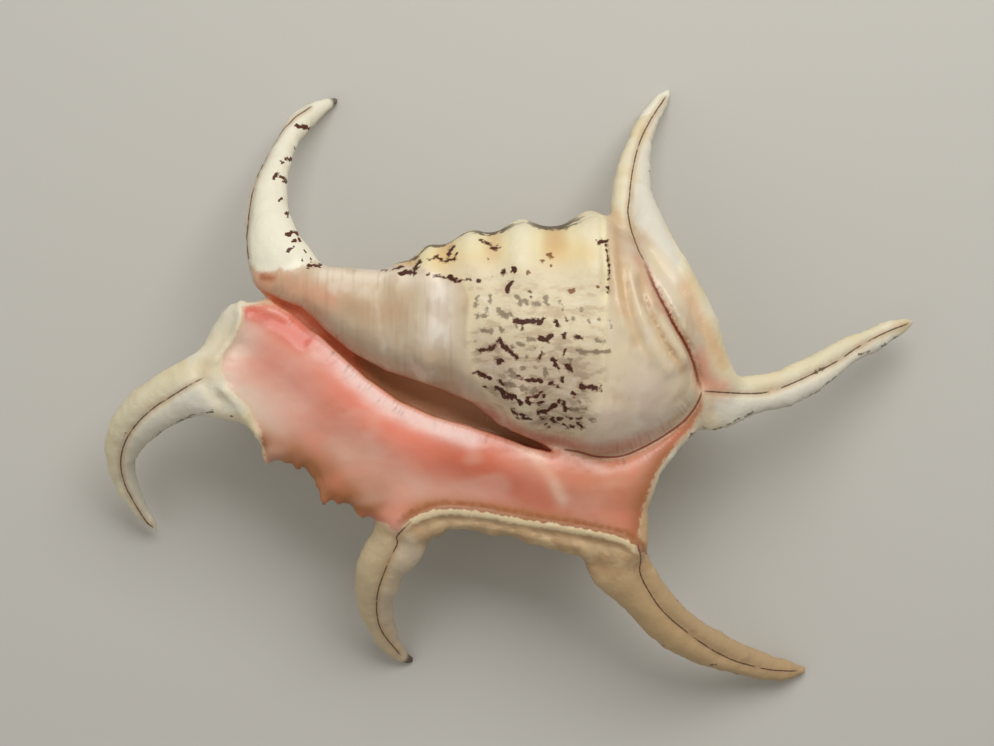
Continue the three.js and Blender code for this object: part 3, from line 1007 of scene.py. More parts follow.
def spire_distance(x, y, z):
    foot, apex = np.array(SPIRE_FOOT), np.array(SPIRE_APEX)
    length = np.linalg.norm(apex - foot)
    axis = (apex - foot) / length
    off = [a - b for a, b in zip((x, y, z), foot)]
    along = off[0] * axis[0] + off[1] * axis[1] + off[2] * axis[2]
    around = np.sqrt(np.maximum(off[0] ** 2 + off[1] ** 2 + off[2] ** 2 - along**2, 0))
    angle = np.arctan2(off[2], off[1])
    table = np.array(SPIRE_PROFILE)
    share = np.clip(along / length, 0, 1)
    radius = np.interp(share, table[:, 0], table[:, 1])
    knobs = SPIRE_KNOB_HEIGHT * np.maximum(np.cos(SPIRE_KNOBS * angle + SPIRE_KNOB_TWIST * share), 0)
    side = (around - radius - knobs) * SPIRE_SLANT
    return np.maximum(side, np.maximum(-along, along - length))


# ---- The lattice ----------------------------------------------------------------------------


class Lattice:
    """Distances to the shell's surface on an even lattice, negative inside the shell."""

    def __init__(self, step):
        self.step = step
        self.axes = [
            np.arange(low, high, step, dtype=np.float32)
            for low, high in zip(LATTICE_LOW, LATTICE_HIGH)
        ]
        self.values = np.full([len(a) for a in self.axes], FAR, np.float32)

    def window(self, low, high):
        cuts = tuple(
            slice(*np.searchsorted(axis, pair)) for axis, pair in zip(self.axes, zip(low, high))
        )
        return cuts, np.ix_(*(axis[cut] for axis, cut in zip(self.axes, cuts)))

    def join(self, shape, low, high, reach):
        cuts, (x, y, z) = self.window(low, high)
        blend = reach(x, y, z) if callable(reach) else reach
        self.values[cuts] = soft_min(self.values[cuts], shape(x, y, z), blend)

    def cut(self, shape, low, high, reach):
        cuts, (x, y, z) = self.window(low, high)
        self.values[cuts] = -soft_min(-self.values[cuts], shape(x, y, z), reach)

    def heights(self):
        """The height of the topmost surface over each point of the floor."""
        inside = self.values < 0
        top = inside.shape[2] - 1 - np.argmax(inside[:, :, ::-1], axis=2)
        return np.where(inside.any(axis=2), self.axes[2][top], -FAR)

    def read(self, points):
        """The lattice's distances at points between its nodes."""
        at = [
            np.clip((points[:, n] - axis[0]) / self.step, 0, len(axis) - 1.001)
            for n, axis in enumerate(self.axes)
        ]
        base = [a.astype(int) for a in at]
        part = [a - b for a, b in zip(at, base)]
        total = 0
        for corner in np.ndindex(2, 2, 2):
            weight = 1
            for share, bit in zip(part, corner):
                weight = weight * (share if bit else 1 - share)
            total = total + weight * self.values[tuple(b + c for b, c in zip(base, corner))]
        return total

    def slopes(self, points):
        """The lattice's gradient at points."""
        parts = []
        for n in range(3):
            shift = np.zeros(3)
            shift[n] = self.step * 0.6
            parts.append(self.read(points + shift) - self.read(points - shift))
        return np.stack(parts, 1) / (1.2 * self.step)


def box_around(rows, margin=7.0):
    points = np.asarray(rows)[:, :3]
    reach = np.asarray(rows)[:, 3:].max() + margin
    return points.min(0) - reach, points.max(0) + reach


def aperture_distance(x, y, z):
    depth = np.asarray(APERTURE_FLOOR)
    floor = np.interp(x, depth[:, 0], depth[:, 1])
    return np.maximum(outline_distance(x, y, APERTURE), floor - z)


# How deep the relief map reaches into the surface that faces up.
RELIEF_REACH = 4.0
# Distance from a stroke's edge within which each round of splitting makes the mesh finer.
DETAIL_REACH = (0.6, 0.15)


def relief_map(x, y):
    """Folds, beads and creases of the aperture side as heights over the floor plan."""
    total = np.zeros(np.broadcast(x, y).shape)
    for line, height, width in FOLDS:
        signed, share = line_distance(x, y, line)
        fade = ramp(share, 0, FOLD_FADE) * ramp(1 - share, 0, FOLD_FADE)
        total += height * fade * np.exp(-((signed / width) ** 2))
    for line in CREASES.values():
        signed, share = line_distance(x, y, line)
        fade = ramp(share, 0, CREASE_FADE) * ramp(1 - share, 0, CREASE_FADE)
        for depth, width in zip(CREASE_DEPTH, CREASE_WIDTH):
            total -= depth * fade * np.exp(-((signed / width) ** 2))
    signed, share = line_distance(x, y, SLIT)
    total -= SLIT_DEPTH * np.sin(np.pi * share) ** 0.6 * np.exp(-((signed / SLIT_WIDTH) ** 2))
    signed, share = line_distance(x, y, BEAD)
    fade = ramp(share, 0, 0.1) * ramp(1 - share, 0, 0.08)
    total += BEAD_HEIGHT * fade * np.exp(-((signed / BEAD_WIDTH) ** 2))
    total -= BEAD_STEP * fade * ramp(signed, -0.8, -2.2) * ramp(signed, -13.0, -6.0)
    wave, length = BEAD_WAVE
    below = ramp(signed, -0.5, -2.0) * ramp(signed, -13.0, -6.0)
    turn = 2 * np.pi * (x + 0.6 * signed) / length
    total += wave * fade * below * (np.sin(turn) + np.sin(0.37 * turn + 1.0))
    return total + CALLUS_STEP * ramp(x, CALLUS_STEP_FROM, CALLUS_STEP_TO)


def tight_on_top(x, y, z):
    """Blend reach that keeps the crease on the aperture side sharp and rounds the back."""
    return 1.6 + 6.4 * ramp(z, 38, 28)


def grow(step):
    """Joins and cuts every region of the shell on one lattice."""
    lattice = Lattice(step)
    everywhere = ((-FAR * 9,) * 3, (FAR * 9,) * 3)
    lattice.join(whorl_distance, (-75, -26, -2), (60, 55, 61), 1.0)
    lattice.join(spire_distance, (15, -20, -2), (66, 40, 61), 3.0)
    lattice.join(
        lambda x, y, z: section_distance(OUTER_WALL, x, y, z), (-70, -40, 2), (60, 35, 50), 5.0
    )
    for rows in RAYS:
        lattice.join(lambda x, y, z: tube_distance(rows, x, y, z, 10), *box_around(rows), 5.0)
    lattice.join(lip_distance, (-90, -56, 25), (62, 30, 56), tight_on_top)
    for rows in SPINES.values():
        lattice.join(lambda x, y, z: tube_distance(rows, x, y, z), *box_around(rows), 2.4)
    lattice.join(lambda x, y, z: tube_distance(FLANGE, x, y, z, 16), *box_around(FLANGE), 2.4)
    for x0, y0, z0, dx, dy, length, radius in TEETH:
        tooth = (
            (x0 - dx, y0 - dy, z0, radius, radius),
            (x0 + dx * length * 0.4, y0 + dy * length * 0.4, z0, radius * 0.8, radius * 0.8),
            (x0 + dx * length, y0 + dy * length, z0 - 0.4, radius * 0.25, radius * 0.25),
        )
        lattice.join(lambda x, y, z: tube_distance(tooth, x, y, z, 6), *box_around(tooth, 3), 1.2)
    lattice.cut(
        lambda x, y, z: section_distance(CHAMBER, x, y, z), (-56, -26, 8), (38, 24, 48), 2.0
    )
    lattice.cut(aperture_distance, (-72, -22, 20), (16, 30, 61), 1.0)
    add_relief(lattice)
    lattice.cut(lambda x, y, z: z + 0 * x + 0 * y, *everywhere, 0.01)
    return lattice


def add_relief(lattice):
    """Presses the relief map into the surface that faces up."""
    x, y, z = np.ix_(*lattice.axes)
    top = lattice.heights()[:, :, None]
    near_top = np.exp(-(((z - top) / RELIEF_REACH) ** 2))
    lattice.values -= relief_map(x, y) * near_top


# ---- From lattice to mesh -------------------------------------------------------------------


def surface_net(lattice):
    """One point in each lattice cell the surface passes through, joined into quads."""
    values = lattice.values
    inside = values < 0
    counts = sum(
        inside[tuple(slice(c, n - 1 + c) for c, n in zip(corner, inside.shape))].astype(np.int8)
        for corner in np.ndindex(2, 2, 2)
    )
    active = (counts > 0) & (counts < 8)
    ids = np.full(active.shape, -1, np.int32)
    ids[active] = np.arange(active.sum())
    cells = np.stack(np.nonzero(active), 1)
    sums = np.zeros(cells.shape)
    hits = np.zeros(len(cells))
    for axis in range(3):
        for bits in np.ndindex(2, 2):
            corner = np.insert(bits, axis, 0)
            other = np.insert(bits, axis, 1)
            a = values[tuple((cells + corner).T)]
            b = values[tuple((cells + other).T)]
            crossed = (a < 0) != (b < 0)
            share = np.where(crossed, a / np.where(crossed, a - b, 1), 0)
            sums += np.where(crossed[:, None], corner + share[:, None] * (other - corner), 0)
            hits += crossed
    low = np.array([axis[0] for axis in lattice.axes])
    points = (cells + sums / hits[:, None]) * lattice.step + low
    quads = [edge_quads(inside, ids, axis) for axis in range(3)]
    return points, np.concatenate(quads)


def edge_quads(inside, ids, axis):
    """A quad round every lattice edge along this axis that crosses the surface."""
    ahead = np.take(inside, range(1, inside.shape[axis]), axis)
    here = np.take(inside, range(inside.shape[axis] - 1), axis)
    edges = np.stack(np.nonzero(ahead != here), 1)
    second, third = (axis + 1) % 3, (axis + 2) % 3
    edges = edges[(edges[:, second] > 0) & (edges[:, third] > 0)]
    corners = []
    for back_second, back_third in ((1, 1), (0, 1), (0, 0), (1, 0)):
        cell = edges.copy()
        cell[:, second] -= back_second
        cell[:, third] -= back_third
        corners.append(ids[tuple(cell.T)])
    quads = np.stack(corners, 1)
    faces_forward = here[tuple(edges.T)]
    quads[~faces_forward] = quads[~faces_forward, ::-1]
    return quads


def settle(lattice, points, quads, rounds=3):
    """Evens the points out along the surface and puts them back on it."""
    starts = quads.ravel()
    ends = np.roll(quads, -1, axis=1).ravel()
    degree = np.bincount(starts, minlength=len(points))[:, None]
    for _ in range(rounds):
        total = np.zeros(points.shape)
        for n in range(3):
            total[:, n] = np.bincount(starts, points[ends, n], len(points))
        points = points + 0.5 * (total / degree - points)
        for _ in range(2):
            slope = lattice.slopes(points)
            steep = np.maximum((slope**2).sum(1), 0.2)[:, None]
            move = lattice.read(points)[:, None] * slope / steep
            points = points - np.clip(move, -lattice.step, lattice.step)
    return points


def refine(lattice, points, faces, chosen):
    """Splits the chosen four-sided faces in four, curved like the surface, with no gaps."""
    slope = lattice.slopes(points)
    normal = slope / np.maximum(np.linalg.norm(slope, axis=1), 1e-6)[:, None]
    made = []
    halves = {}
    touched = np.zeros(len(points), bool)

    def halfway(a, b):
        key = (a, b) if a < b else (b, a)
        if key not in halves:
            span = points[b] - points[a]
            bulge = (span @ (normal[b] - normal[a])) / 8
            facing = normal[a] + normal[b]
            length = max(np.linalg.norm(facing), 1e-6)
            halves[key] = len(points) + len(made)
            made.append((points[a] + points[b]) / 2 + facing / length * bulge)
            touched[[a, b]] = True
        return halves[key]

    split = []
    for face, wanted in zip(faces, chosen):
        if wanted:
            sides = [halfway(a, b) for a, b in zip(face, (*face[1:], face[0]))]
            edge_middle = np.mean([made[n - len(points)] for n in sides], axis=0)
            centre = len(points) + len(made)
            made.append(2 * edge_middle - points[list(face)].mean(axis=0))
            split += [(face[n], sides[n], centre, sides[n - 1]) for n in range(4)]
    for face, wanted in zip(faces, chosen):
        if wanted:
            continue
        if touched[list(face)].sum() < 2:
            split.append(face)
            continue
        ring = []
        for a, b in zip(face, (*face[1:], face[0])):
            ring.append(a)
            key = (a, b) if a < b else (b, a)
            if key in halves:
                ring.append(halves[key])
        split.append(tuple(ring))
    return np.vstack((points, made)), split


def refine_detail(lattice, points, quads):
    """Makes the mesh finer where pigment strokes run."""
    faces = [tuple(face) for face in quads.tolist()]
    strokes = (*WHORL_MARKS, *CANAL_MARKS, *GREY_MARKS, *AMBER_MARKS, *EDGE_MARKS)
    for reach in DETAIL_REACH:
        four = np.array([face[:4] for face in faces])
        middle = points[four].mean(axis=1)
        near = stroke_distance(middle[:, 0], middle[:, 1], strokes) < reach
        near &= lattice.slopes(middle)[:, 2] > 0.05
        near &= np.array([len(face) == 4 for face in faces])
        points, faces = refine(lattice, points, faces, near)
    return points, faces


# ---- What the finish needs to know at each point --------------------------------------------


def stroke_distance(x, y, strokes):
    """Distance to the nearest pigment stroke's edge, negative inside it."""
    nearest = np.full(np.shape(x), 9.0)
    for half_width, *spots in strokes:
        path = np.reshape(spots, (-1, 2))
        for a, b in zip(path[:-1], path[1:]):
            dx, dy = b - a
            length = max(dx * dx + dy * dy, 1e-6)
            along = np.clip(((x - a[0]) * dx + (y - a[1]) * dy) / length, 0, 1)
            gap = np.hypot(x - a[0] - along * dx, y - a[1] - along * dy) - half_width
            nearest = np.minimum(nearest, gap)
    return nearest


def spine_facts(x, y):
    """How far out along a spine each point is, and how dark the crease beside it."""
    share_out = np.zeros(len(x))
    for rows in SPINES.values():
        signed, share = line_distance(x, y, np.asarray(rows)[:, :2], 40)
        width = np.interp(share, np.linspace(0, 1, len(rows)), np.asarray(rows)[:, 3])
        mine = (np.abs(signed) < width + 1.0) & (share > 0.02)
        share_out = np.where(mine, np.maximum(share_out, share), share_out)
    nearest = np.full(len(x), 9.0)
    lobe = np.zeros(len(x))
    strength = np.zeros(len(x))
    for name, line in CREASES.items():
        signed, share = line_distance(x, y, line)
        closer = np.abs(signed) < np.abs(nearest)
        nearest = np.where(closer, signed, nearest)
        side = np.clip(signed / 3, -1, 1) if name != "lip" else 0
        lobe = np.where(closer, side * ramp(share, 0, 0.1), lobe)
        strength = np.where(closer, ramp(share, 0, 0.03) * ramp(1 - share, 0, 0.03), strength)
    return share_out, nearest, lobe, strength * ramp(np.abs(nearest), 3.0, 1.8)


def dark_tips(x, y, z):
    """Distance to the tips of the two spines that end dark."""
    tips = [SPINES[name][-1][:3] for name in ("siphonal", "lower left")]
    gaps = [np.linalg.norm((x - a, y - b, z - c), axis=0) for a, b, c in tips]
    return np.minimum(*gaps)


def point_facts(lattice, points):
    """Distances and shares, in millimetres or 0 to 1, that the finish reads from the mesh."""
    x, y, z = points.T
    slope = lattice.slopes(points)
    normal = slope / np.maximum(np.linalg.norm(slope, axis=1), 1e-6)[:, None]
    facing = normal[:, 2]
    top = lattice.heights()
    column = tuple(
        np.clip(((v - axis[0]) / lattice.step).round().astype(int), 0, len(axis) - 1)
        for v, axis in zip((x, y), lattice.axes)
    )
    below_top = np.maximum(top[column] - z, 0)
    upper = ramp(facing, -0.25, 0.1) * ramp(below_top, 9.0, 5.0)
    in_slot = outline_distance(x, y, APERTURE)
    upper = np.where(in_slot < 0.5, ramp(facing, -0.25, 0.1), upper)
    # Painted shade: how far a point lies down in a hollow, read from the lattice a little way out
    # along the surface's normal.
    hollow_shade = sum((reach - lattice.read(points + normal * reach)) / reach for reach in (1.5, 3.5))
    lip_in, lip_along = line_distance(x, y, LIP_INNER_EDGE)
    spine, crease, lobe, crease_on = spine_facts(x, y)
    slit, slit_share = line_distance(x, y, SLIT)
    bead, bead_share = line_distance(x, y, BEAD)
    bead_on = ramp(bead_share, 0.0, 0.1) * ramp(y, -52.0, -47.0) * ramp(np.abs(facing), 0.0, 0.1)
    # Painted shade: low grows towards the bottom of the shell, and the finish lays tan over it in
    # place of the shade there.
    low = ramp(y, -18.0, -42.0) * ramp(x, -62.0, -52.0)
    low = low * (0.6 + 0.4 * ramp(x, -15.0, 30.0))
    table = smooth_rows(WHORL, 160)
    off_y = y - np.interp(x, table[:, 0], table[:, 1])
    off_z = z - np.interp(x, table[:, 0], table[:, 3])
    facts = {
        "upper": upper,
        "facing": facing,
        "hollow_shade": np.clip(hollow_shade, -1, 2),
        "glaze": np.where(facing > -0.2, -outline_distance(x, y, GLAZE), -9.0),
        "window": -outline_distance(x, y, WINDOW),
        "aperture": in_slot,
        "crease": crease,
        "crease_on": crease_on * upper,
        "lobe": lobe,
        "slit": slit,
        "slit_on": ramp(np.abs(slit), 4.0, 2.5) * np.sin(np.pi * slit_share) ** 0.5 * upper,
        "height": z,
        "low": low,
        "bead": bead,
        "bead_on": bead_on,
        "tip": dark_tips(x, y, z),
        "lip_in": np.abs(lip_in),
        "lip_along": lip_along * LIP_LENGTH,
        "spine": spine,
        "turn": np.arctan2(off_z, off_y),
        "shoulder": ramp(y, 15.0, 22.0) * ramp(x, -38.0, -33.0) * ramp(x, 24.0, 16.0),
        "rib": rib_height(x, y, z) / RIB_FULL_HEIGHT,
        "whorl": -np.clip(section_distance(WHORL, x, y, z) - 4.0, -9.0, 9.0),
        "canal": line_distance(x, y, CANAL_EDGE)[0],
        "brown_marks": stroke_distance(x, y, WHORL_MARKS),
        "canal_marks": stroke_distance(x, y, CANAL_MARKS),
        "edge_marks": stroke_distance(x, y, EDGE_MARKS),
        "grey_marks": stroke_distance(x, y, GREY_MARKS),
        "amber_marks": stroke_distance(x, y, AMBER_MARKS),
    }
    for name, (line, width, *_) in (*LIP_TINTS.items(), *CALLUS_TINTS.items()):
        facts[name] = np.exp(-((line_distance(x, y, line, 12)[0] / width) ** 2)) * upper
    return facts


def make_mesh(name, points, faces, facts):
    mesh = bpy.data.meshes.new(name)
    placed = (points - (*MIDDLE, 0)) * MM
    mesh.from_pydata(placed.tolist(), [], faces)
    for fact, values in facts.items():
        layer = mesh.attributes.new(fact, "FLOAT", "POINT")
        layer.data.foreach_set("value", np.asarray(values, np.float32))
    mesh.shade_smooth()
    mesh.validate()
    return mesh


# ---- Nodes ----------------------------------------------------------------------------------


def linear(code):
    """A hex sRGB colour as linear red, green, blue and alpha."""
    parts = [int(code[n : n + 2], 16) / 255 for n in (1, 3, 5)]
    return (*(p / 12.92 if p <= 0.04045 else ((p + 0.055) / 1.055) ** 2.4 for p in parts), 1.0)


def node(tree, kind, inputs=None, **settings):
    """Adds a node. Inputs are values or the sockets that feed them, by name or number."""
    made = tree.nodes.new(kind)
    for key, value in settings.items():
        setattr(made, key, value)
    for key, value in (inputs or {}).items():
        socket = made.inputs[key]
        if isinstance(value, bpy.types.NodeSocket):
            tree.links.new(value, socket)
        else:
            socket.default_value = value
    return made


class Finish:
    """Colours and bumps laid over each other in one material."""

    def __init__(self, name, ground):
        self.material = bpy.data.materials.new(name)
        self.material.use_nodes = True
        self.tree = self.material.node_tree
        self.tree.nodes.clear()
        self.place = node(self.tree, "ShaderNodeTexCoord").outputs["Object"]
        self.colour = node(self.tree, "ShaderNodeRGB").outputs[0]
        self.colour.default_value = linear(ground)

    def fact(self, name):
        return node(self.tree, "ShaderNodeAttribute", attribute_name=name).outputs["Fac"]

    def sum(self, operation, *values):
        """One arithmetic step."""
        inputs = dict(enumerate(values))
        return node(self.tree, "ShaderNodeMath", inputs, operation=operation).outputs[0]

    def share(self, value, low, high):
        """0 at low, 1 at high, with an even rise between."""
        inputs = {"Value": value, "From Min": low, "From Max": high}
        made = node(self.tree, "ShaderNodeMapRange", inputs, interpolation_type="SMOOTHSTEP")
        return made.outputs["Result"]

    def noise(self, size, stretch=(1, 1, 1), detail=2.0, offset=0.0, warp=0.0):
        """Soft noise whose patches are about this many millimetres across."""
        scale = [1 / (size * MM * s) for s in stretch]
        moved = node(
            self.tree,
            "ShaderNodeMapping",
            {"Vector": self.place, "Scale": scale, "Location": (offset, offset, offset)},
        ).outputs[0]
        inputs = {"Vector": moved, "Scale": 1.0, "Detail": detail, "Distortion": warp}
        return node(self.tree, "ShaderNodeTexNoise", inputs).outputs["Fac"]

    def streaks(self, across, width, along, length):
        """Noise drawn out along one fact and narrow across another, sizes in millimetres."""
        narrow = self.sum("DIVIDE", self.fact(across), width)
        drawn_out = self.sum("DIVIDE", self.fact(along), length)
        spot = node(self.tree, "ShaderNodeCombineXYZ", {0: narrow, 1: drawn_out}).outputs[0]
        inputs = {"Vector": spot, "Scale": 1.0, "Detail": 1.0}
        return node(self.tree, "ShaderNodeTexNoise", inputs).outputs["Fac"]

    def times(self, *values):
        """The product of all values."""
        total = values[0]
        for value in values[1:]:
            total = self.sum("MULTIPLY", total, value)
        return total

    def paint(self, code, mask):
        """Lays one colour over what is there, as strongly as the mask says."""
        inputs = {"Factor": mask, 6: self.colour, 7: linear(code)}
        mixed = node(self.tree, "ShaderNodeMix", inputs, data_type="RGBA", clamp_factor=True)
        self.colour = mixed.outputs[2]


def shell_finish():
    """Lime shell: porcelain glaze by the aperture, dull outside, brown pigment in broken bands."""
    f = Finish("Lime shell, glazed aperture", "#e2d9c0")
    upper = f.fact("upper")
    f.slow = f.noise(14.0)
    f.mid = f.noise(5.0, offset=3.0)
    f.fine = f.noise(1.6, offset=7.0)
    f.grain = f.noise(0.7, offset=9.0, detail=1.0)
    on_whorl = f.share(f.fact("whorl"), 0.0, 3.0)
    window = f.fact("window")
    lip = f.times(upper, f.share(f.sum("ADD", f.fact("glaze"), f.times(f.fine, 0.8)), 0.2, 1.1))
    callus = f.times(on_whorl, f.share(window, 1.4, -0.2), upper)
    paint_outside(f, on_whorl)
    paint_whorl(f, on_whorl, window)
    paint_callus(f, callus)
    paint_window(f, f.times(on_whorl, upper, f.share(window, -1.0, 3.6)))
    paint_lip(f, lip)
    paint_lines(f, upper)
    finish_surface(f, lip, callus)
    return f.material


def paint_outside(f, on_whorl):
    """Ivory of the spines and the outside: yellower on one lobe of each spine, with yellow-tan
    painted shade in the hollows and tan painted shade towards the bottom.
    """
    f.paint("#dccaa2", f.share(f.slow, 0.42, 0.75))
    f.paint("#ece6d2", f.times(f.share(f.mid, 0.5, 0.75), 0.6))
    f.paint("#ddd2aa", f.times(f.share(f.fact("lobe"), -0.1, -0.9), 0.5))
    f.paint("#d3cfc4", f.times(f.share(f.fact("lobe"), 0.1, 0.9), 0.6))
    # Painted shade: tan laid on towards the bottom of the shell, where the lower spines are in
    # shade.
    f.paint("#b9986c", f.times(f.fact("low"), 0.9))
    # Painted shade: yellow-tan in the hollows.
    f.paint("#c3a172", f.times(f.share(f.fact("hollow_shade"), 0.3, 1.2), 0.6))
    below = f.share(f.fact("facing"), 0.1, -0.4)
    f.paint("#cfb68c", f.times(below, 0.6))
    blotches = f.noise(4.2, (1.5, 1, 1), 3.0, 11.0, 0.4)
    behind = f.share(f.fact("facing"), 0.1, -0.1)
    f.paint("#7d5132", f.times(on_whorl, behind, f.share(blotches, 0.54, 0.6), 0.9))


def paint_whorl(f, on_whorl, window):
    """Upper edge of the whorl: yellow cream lumps, with a painted highlight on their crests and
    painted shade as tan between them.
    """
    back = f.times(on_whorl, f.share(f.sum("ADD", window, f.times(f.mid, 2.0)), 0.0, 1.6))
    rib = f.fact("rib")
    front = f.share(f.fact("facing"), 0.0, 0.15)
    f.paint("#eadcb0", f.times(back, front))
    # Painted highlight: paler cream on the crests of the ribs.
    f.paint("#eee6c6", f.times(back, front, f.share(rib, 0.6, 1.0), 0.8))
    shoulder = f.share(f.fact("turn"), 1.15, 0.85)
    # Painted shade: tan in the valleys between the ribs.
    f.paint("#cda26a", f.times(back, front, f.share(rib, 0.55, 0.05), shoulder, 0.8))
    rim = f.share(f.sum("ADD", f.fact("facing"), f.times(f.fine, 0.3)), 0.5, 0.42)
    rim = f.times(rim, f.share(f.fact("facing"), 0.0, 0.15), f.share(f.mid, 0.42, 0.46))
    f.paint("#3f2a1c", f.times(on_whorl, rim, f.fact("shoulder"), 0.9))


def paint_callus(f, callus):
    """Callus: a thick milky glaze, greyer and pinker towards the slit."""
    f.paint("#cdb99c", callus)
    right = f.times(callus, f.share(f.fact("lip_along"), 98.0, 112.0))
    f.paint("#dccbab", right)
    f.paint("#cbb8a0", f.times(right, f.share(f.slow, 0.45, 0.65)))
    # The tints include painted shade along the valleys between the hind folds.
    for name, (_, _, code, strength) in CALLUS_TINTS.items():
        f.paint(code, f.times(f.fact(name), strength))
    lines = f.noise(1.3, (1, 12, 12), 1.0, 71.0)
    left = f.share(f.fact("lip_along"), 98.0, 80.0)
    f.paint("#9c806a", f.times(callus, left, f.share(lines, 0.5, 0.75), 0.2))
    clouds = f.noise(7.0, (1, 1.6, 1), 2.0, 23.0)
    f.paint("#e3d3bf", f.times(callus, f.share(clouds, 0.52, 0.68), 0.5))
    f.paint("#b99b7c", f.times(callus, f.share(clouds, 0.46, 0.34), 0.4))
    low = f.streaks("lip_along", 1.2, "lip_in", 9.0)
    by_slot = f.share(f.fact("lip_in"), 6.0, 1.5)
    f.paint("#96604e", f.times(callus, by_slot, f.share(low, 0.5, 0.7), 0.35))
    canal = f.sum("ADD", f.fact("canal"), f.times(f.sum("SUBTRACT", f.fine, 0.5), 2.5))
    f.paint("#ebe5cf", f.times(f.share(canal, -0.7, 0.9), f.share(f.fact("window"), -3.0, -6.0)))


def paint_window(f, inside):
    """The whorl's own markings under the glaze: brown and grey strokes over a mottled ground."""
    f.paint("#dfd0ae", f.times(inside, f.share(f.fact("turn"), 0.7, 1.1)))
    mottle = f.noise(2.4, (1.6, 0.8, 1), 3.0, 41.0)
    low = f.share(f.fact("turn"), 0.9, 1.3)
    f.paint("#bfa585", f.times(inside, low, f.share(mottle, 0.48, 0.66), 0.6))
    f.paint("#e6ddc8", f.times(inside, low, f.share(mottle, 0.42, 0.3), 0.5))
    lower = f.share(f.fact("turn"), 1.45, 2.0)
    f.paint("#b8a089", f.times(inside, lower, 0.7))
    f.paint("#96806b", f.times(inside, lower, f.share(mottle, 0.47, 0.62), 0.6))
    f.paint("#d3c1ae", f.times(inside, lower, f.share(mottle, 0.42, 0.34), 0.6))


def paint_lip(f, lip):
    """Porcelain pink of the lip, with its soft tints and the fine wrinkles beside the slit."""
    f.paint("#e3a893", lip)
    f.paint("#e8bba8", f.times(lip, f.share(f.slow, 0.5, 0.7), 0.6))
    f.paint("#da937a", f.times(lip, f.share(f.mid, 0.55, 0.75), 0.4))
    clouds = f.noise(9.0, (1.5, 1, 1), 1.0, 33.0)
    for name, (_, _, code, strength) in LIP_TINTS.items():
        f.paint(code, f.times(lip, f.fact(name), strength))
    f.paint("#e8c3b0", f.times(lip, f.share(clouds, 0.5, 0.7), 0.3))
    f.paint("#e2836a", f.times(lip, f.share(clouds, 0.5, 0.3), 0.3))
    wrinkles = f.streaks("lip_along", 1.3, "lip_in", 7.0)
    near = f.share(f.fact("lip_in"), 4.0, 2.0)
    patchy = f.share(f.mid, 0.42, 0.6)
    f.paint("#93685e", f.times(lip, near, patchy, f.share(wrinkles, 0.5, 0.7), 0.4))
    ragged = f.share(f.fact("glaze"), 1.3, 0.3)
    f.paint("#dcc6a2", f.times(lip, ragged, f.share(f.fine, 0.4, 0.55), 0.8))
    # A tan band just outside the glaze, laid on only towards the bottom: partly the band's own tan
    # and partly painted shade.
    margin = f.times(f.share(f.fact("glaze"), -3.5, -1.0), f.share(f.fact("glaze"), 0.6, 0.0))
    f.paint("#c9a67a", f.times(margin, f.fact("upper"), f.fact("low"), 0.7))
    bead = f.sum("ADD", f.fact("bead"), f.times(f.sum("SUBTRACT", f.fine, 0.5), 1.8))
    on = f.times(f.fact("bead_on"), f.share(bead, -14.0, -11.0))
    f.paint("#b5946c", f.times(on, f.share(bead, -0.7, -1.5), 0.85))
    f.paint("#cdb28a", f.times(on, f.share(bead, -2.0, -3.0), f.share(f.mid, 0.45, 0.6), 0.7))
    f.paint("#dec9a2", f.times(on, f.share(bead, -1.3, -0.6), f.share(bead, 0.8, 0.3), 0.9))
    f.paint("#a0623a", f.times(on, f.share(bead, 3.4, 1.6), f.share(bead, 0.4, 0.8), 0.85))


def paint_lines(f, upper):
    """Aperture, slit, creases, pigment strokes and the dark tips."""
    deep = f.share(f.fact("aperture"), 0.6, -0.3)
    f.paint("#e0835a", deep)
    f.paint("#cf956a", f.times(deep, f.share(f.fact("height"), 38.0, 35.5)))
    rough = f.times(f.sum("SUBTRACT", f.grain, 0.5), 0.7)
    slit = f.sum("ADD", f.sum("ABSOLUTE", f.fact("slit")), rough)
    open_slit = f.fact("slit_on")
    f.paint("#b8714a", f.times(open_slit, f.share(slit, 0.95, 0.5), 0.8))
    f.paint("#6a2f1c", f.times(open_slit, f.share(slit, 0.5, 0.25)))
    crease = f.sum("ADD", f.sum("ABSOLUTE", f.fact("crease")), f.times(rough, 0.3))
    on = f.fact("crease_on")
    # Painted shade: a soft tan band in the valley either side of each crease.
    f.paint("#b8956e", f.times(on, f.share(crease, 1.5, 0.2), 0.5))
    thin = f.times(on, f.share(crease, 0.26, 0.1), f.share(f.mid, 0.3, 0.45))
    f.paint("#4a3424", f.times(thin, 0.9))
    by_lip = f.times(f.share(f.fact("glaze"), -2.0, -1.0), f.share(f.fact("lip_along"), 92.0, 98.0))
    f.paint("#92503f", f.times(on, f.share(crease, 0.4, 0.15), by_lip))
    blobs = f.sum("SUBTRACT", f.noise(1.1, (1.3, 1, 1), 2.0, 81.0), 0.5)
    strokes = (
        ("grey_marks", "#75634c", 0.3, -0.3, 0.75),
        ("amber_marks", "#7c4a0c", 0.15, -0.25, 0.9),
        ("brown_marks", "#7a5238", 0.4, 0.0, 0.6),
        ("brown_marks", "#451a03", 0.1, -0.15, 1.0),
        ("canal_marks", "#532208", 0.15, -0.1, 1.0),
        ("edge_marks", "#5a4838", 0.0, -0.15, 0.75),
    )
    for name, code, outer, inner, strength in strokes:
        edge = f.sum("ADD", f.sum("ADD", f.fact(name), f.times(blobs, 2.4)), f.times(rough, 0.8))
        f.paint(code, f.times(upper, f.share(edge, outer, inner), strength))
    f.paint("#3a2c22", f.times(f.share(f.fact("tip"), 3.6, 1.6), 0.85))


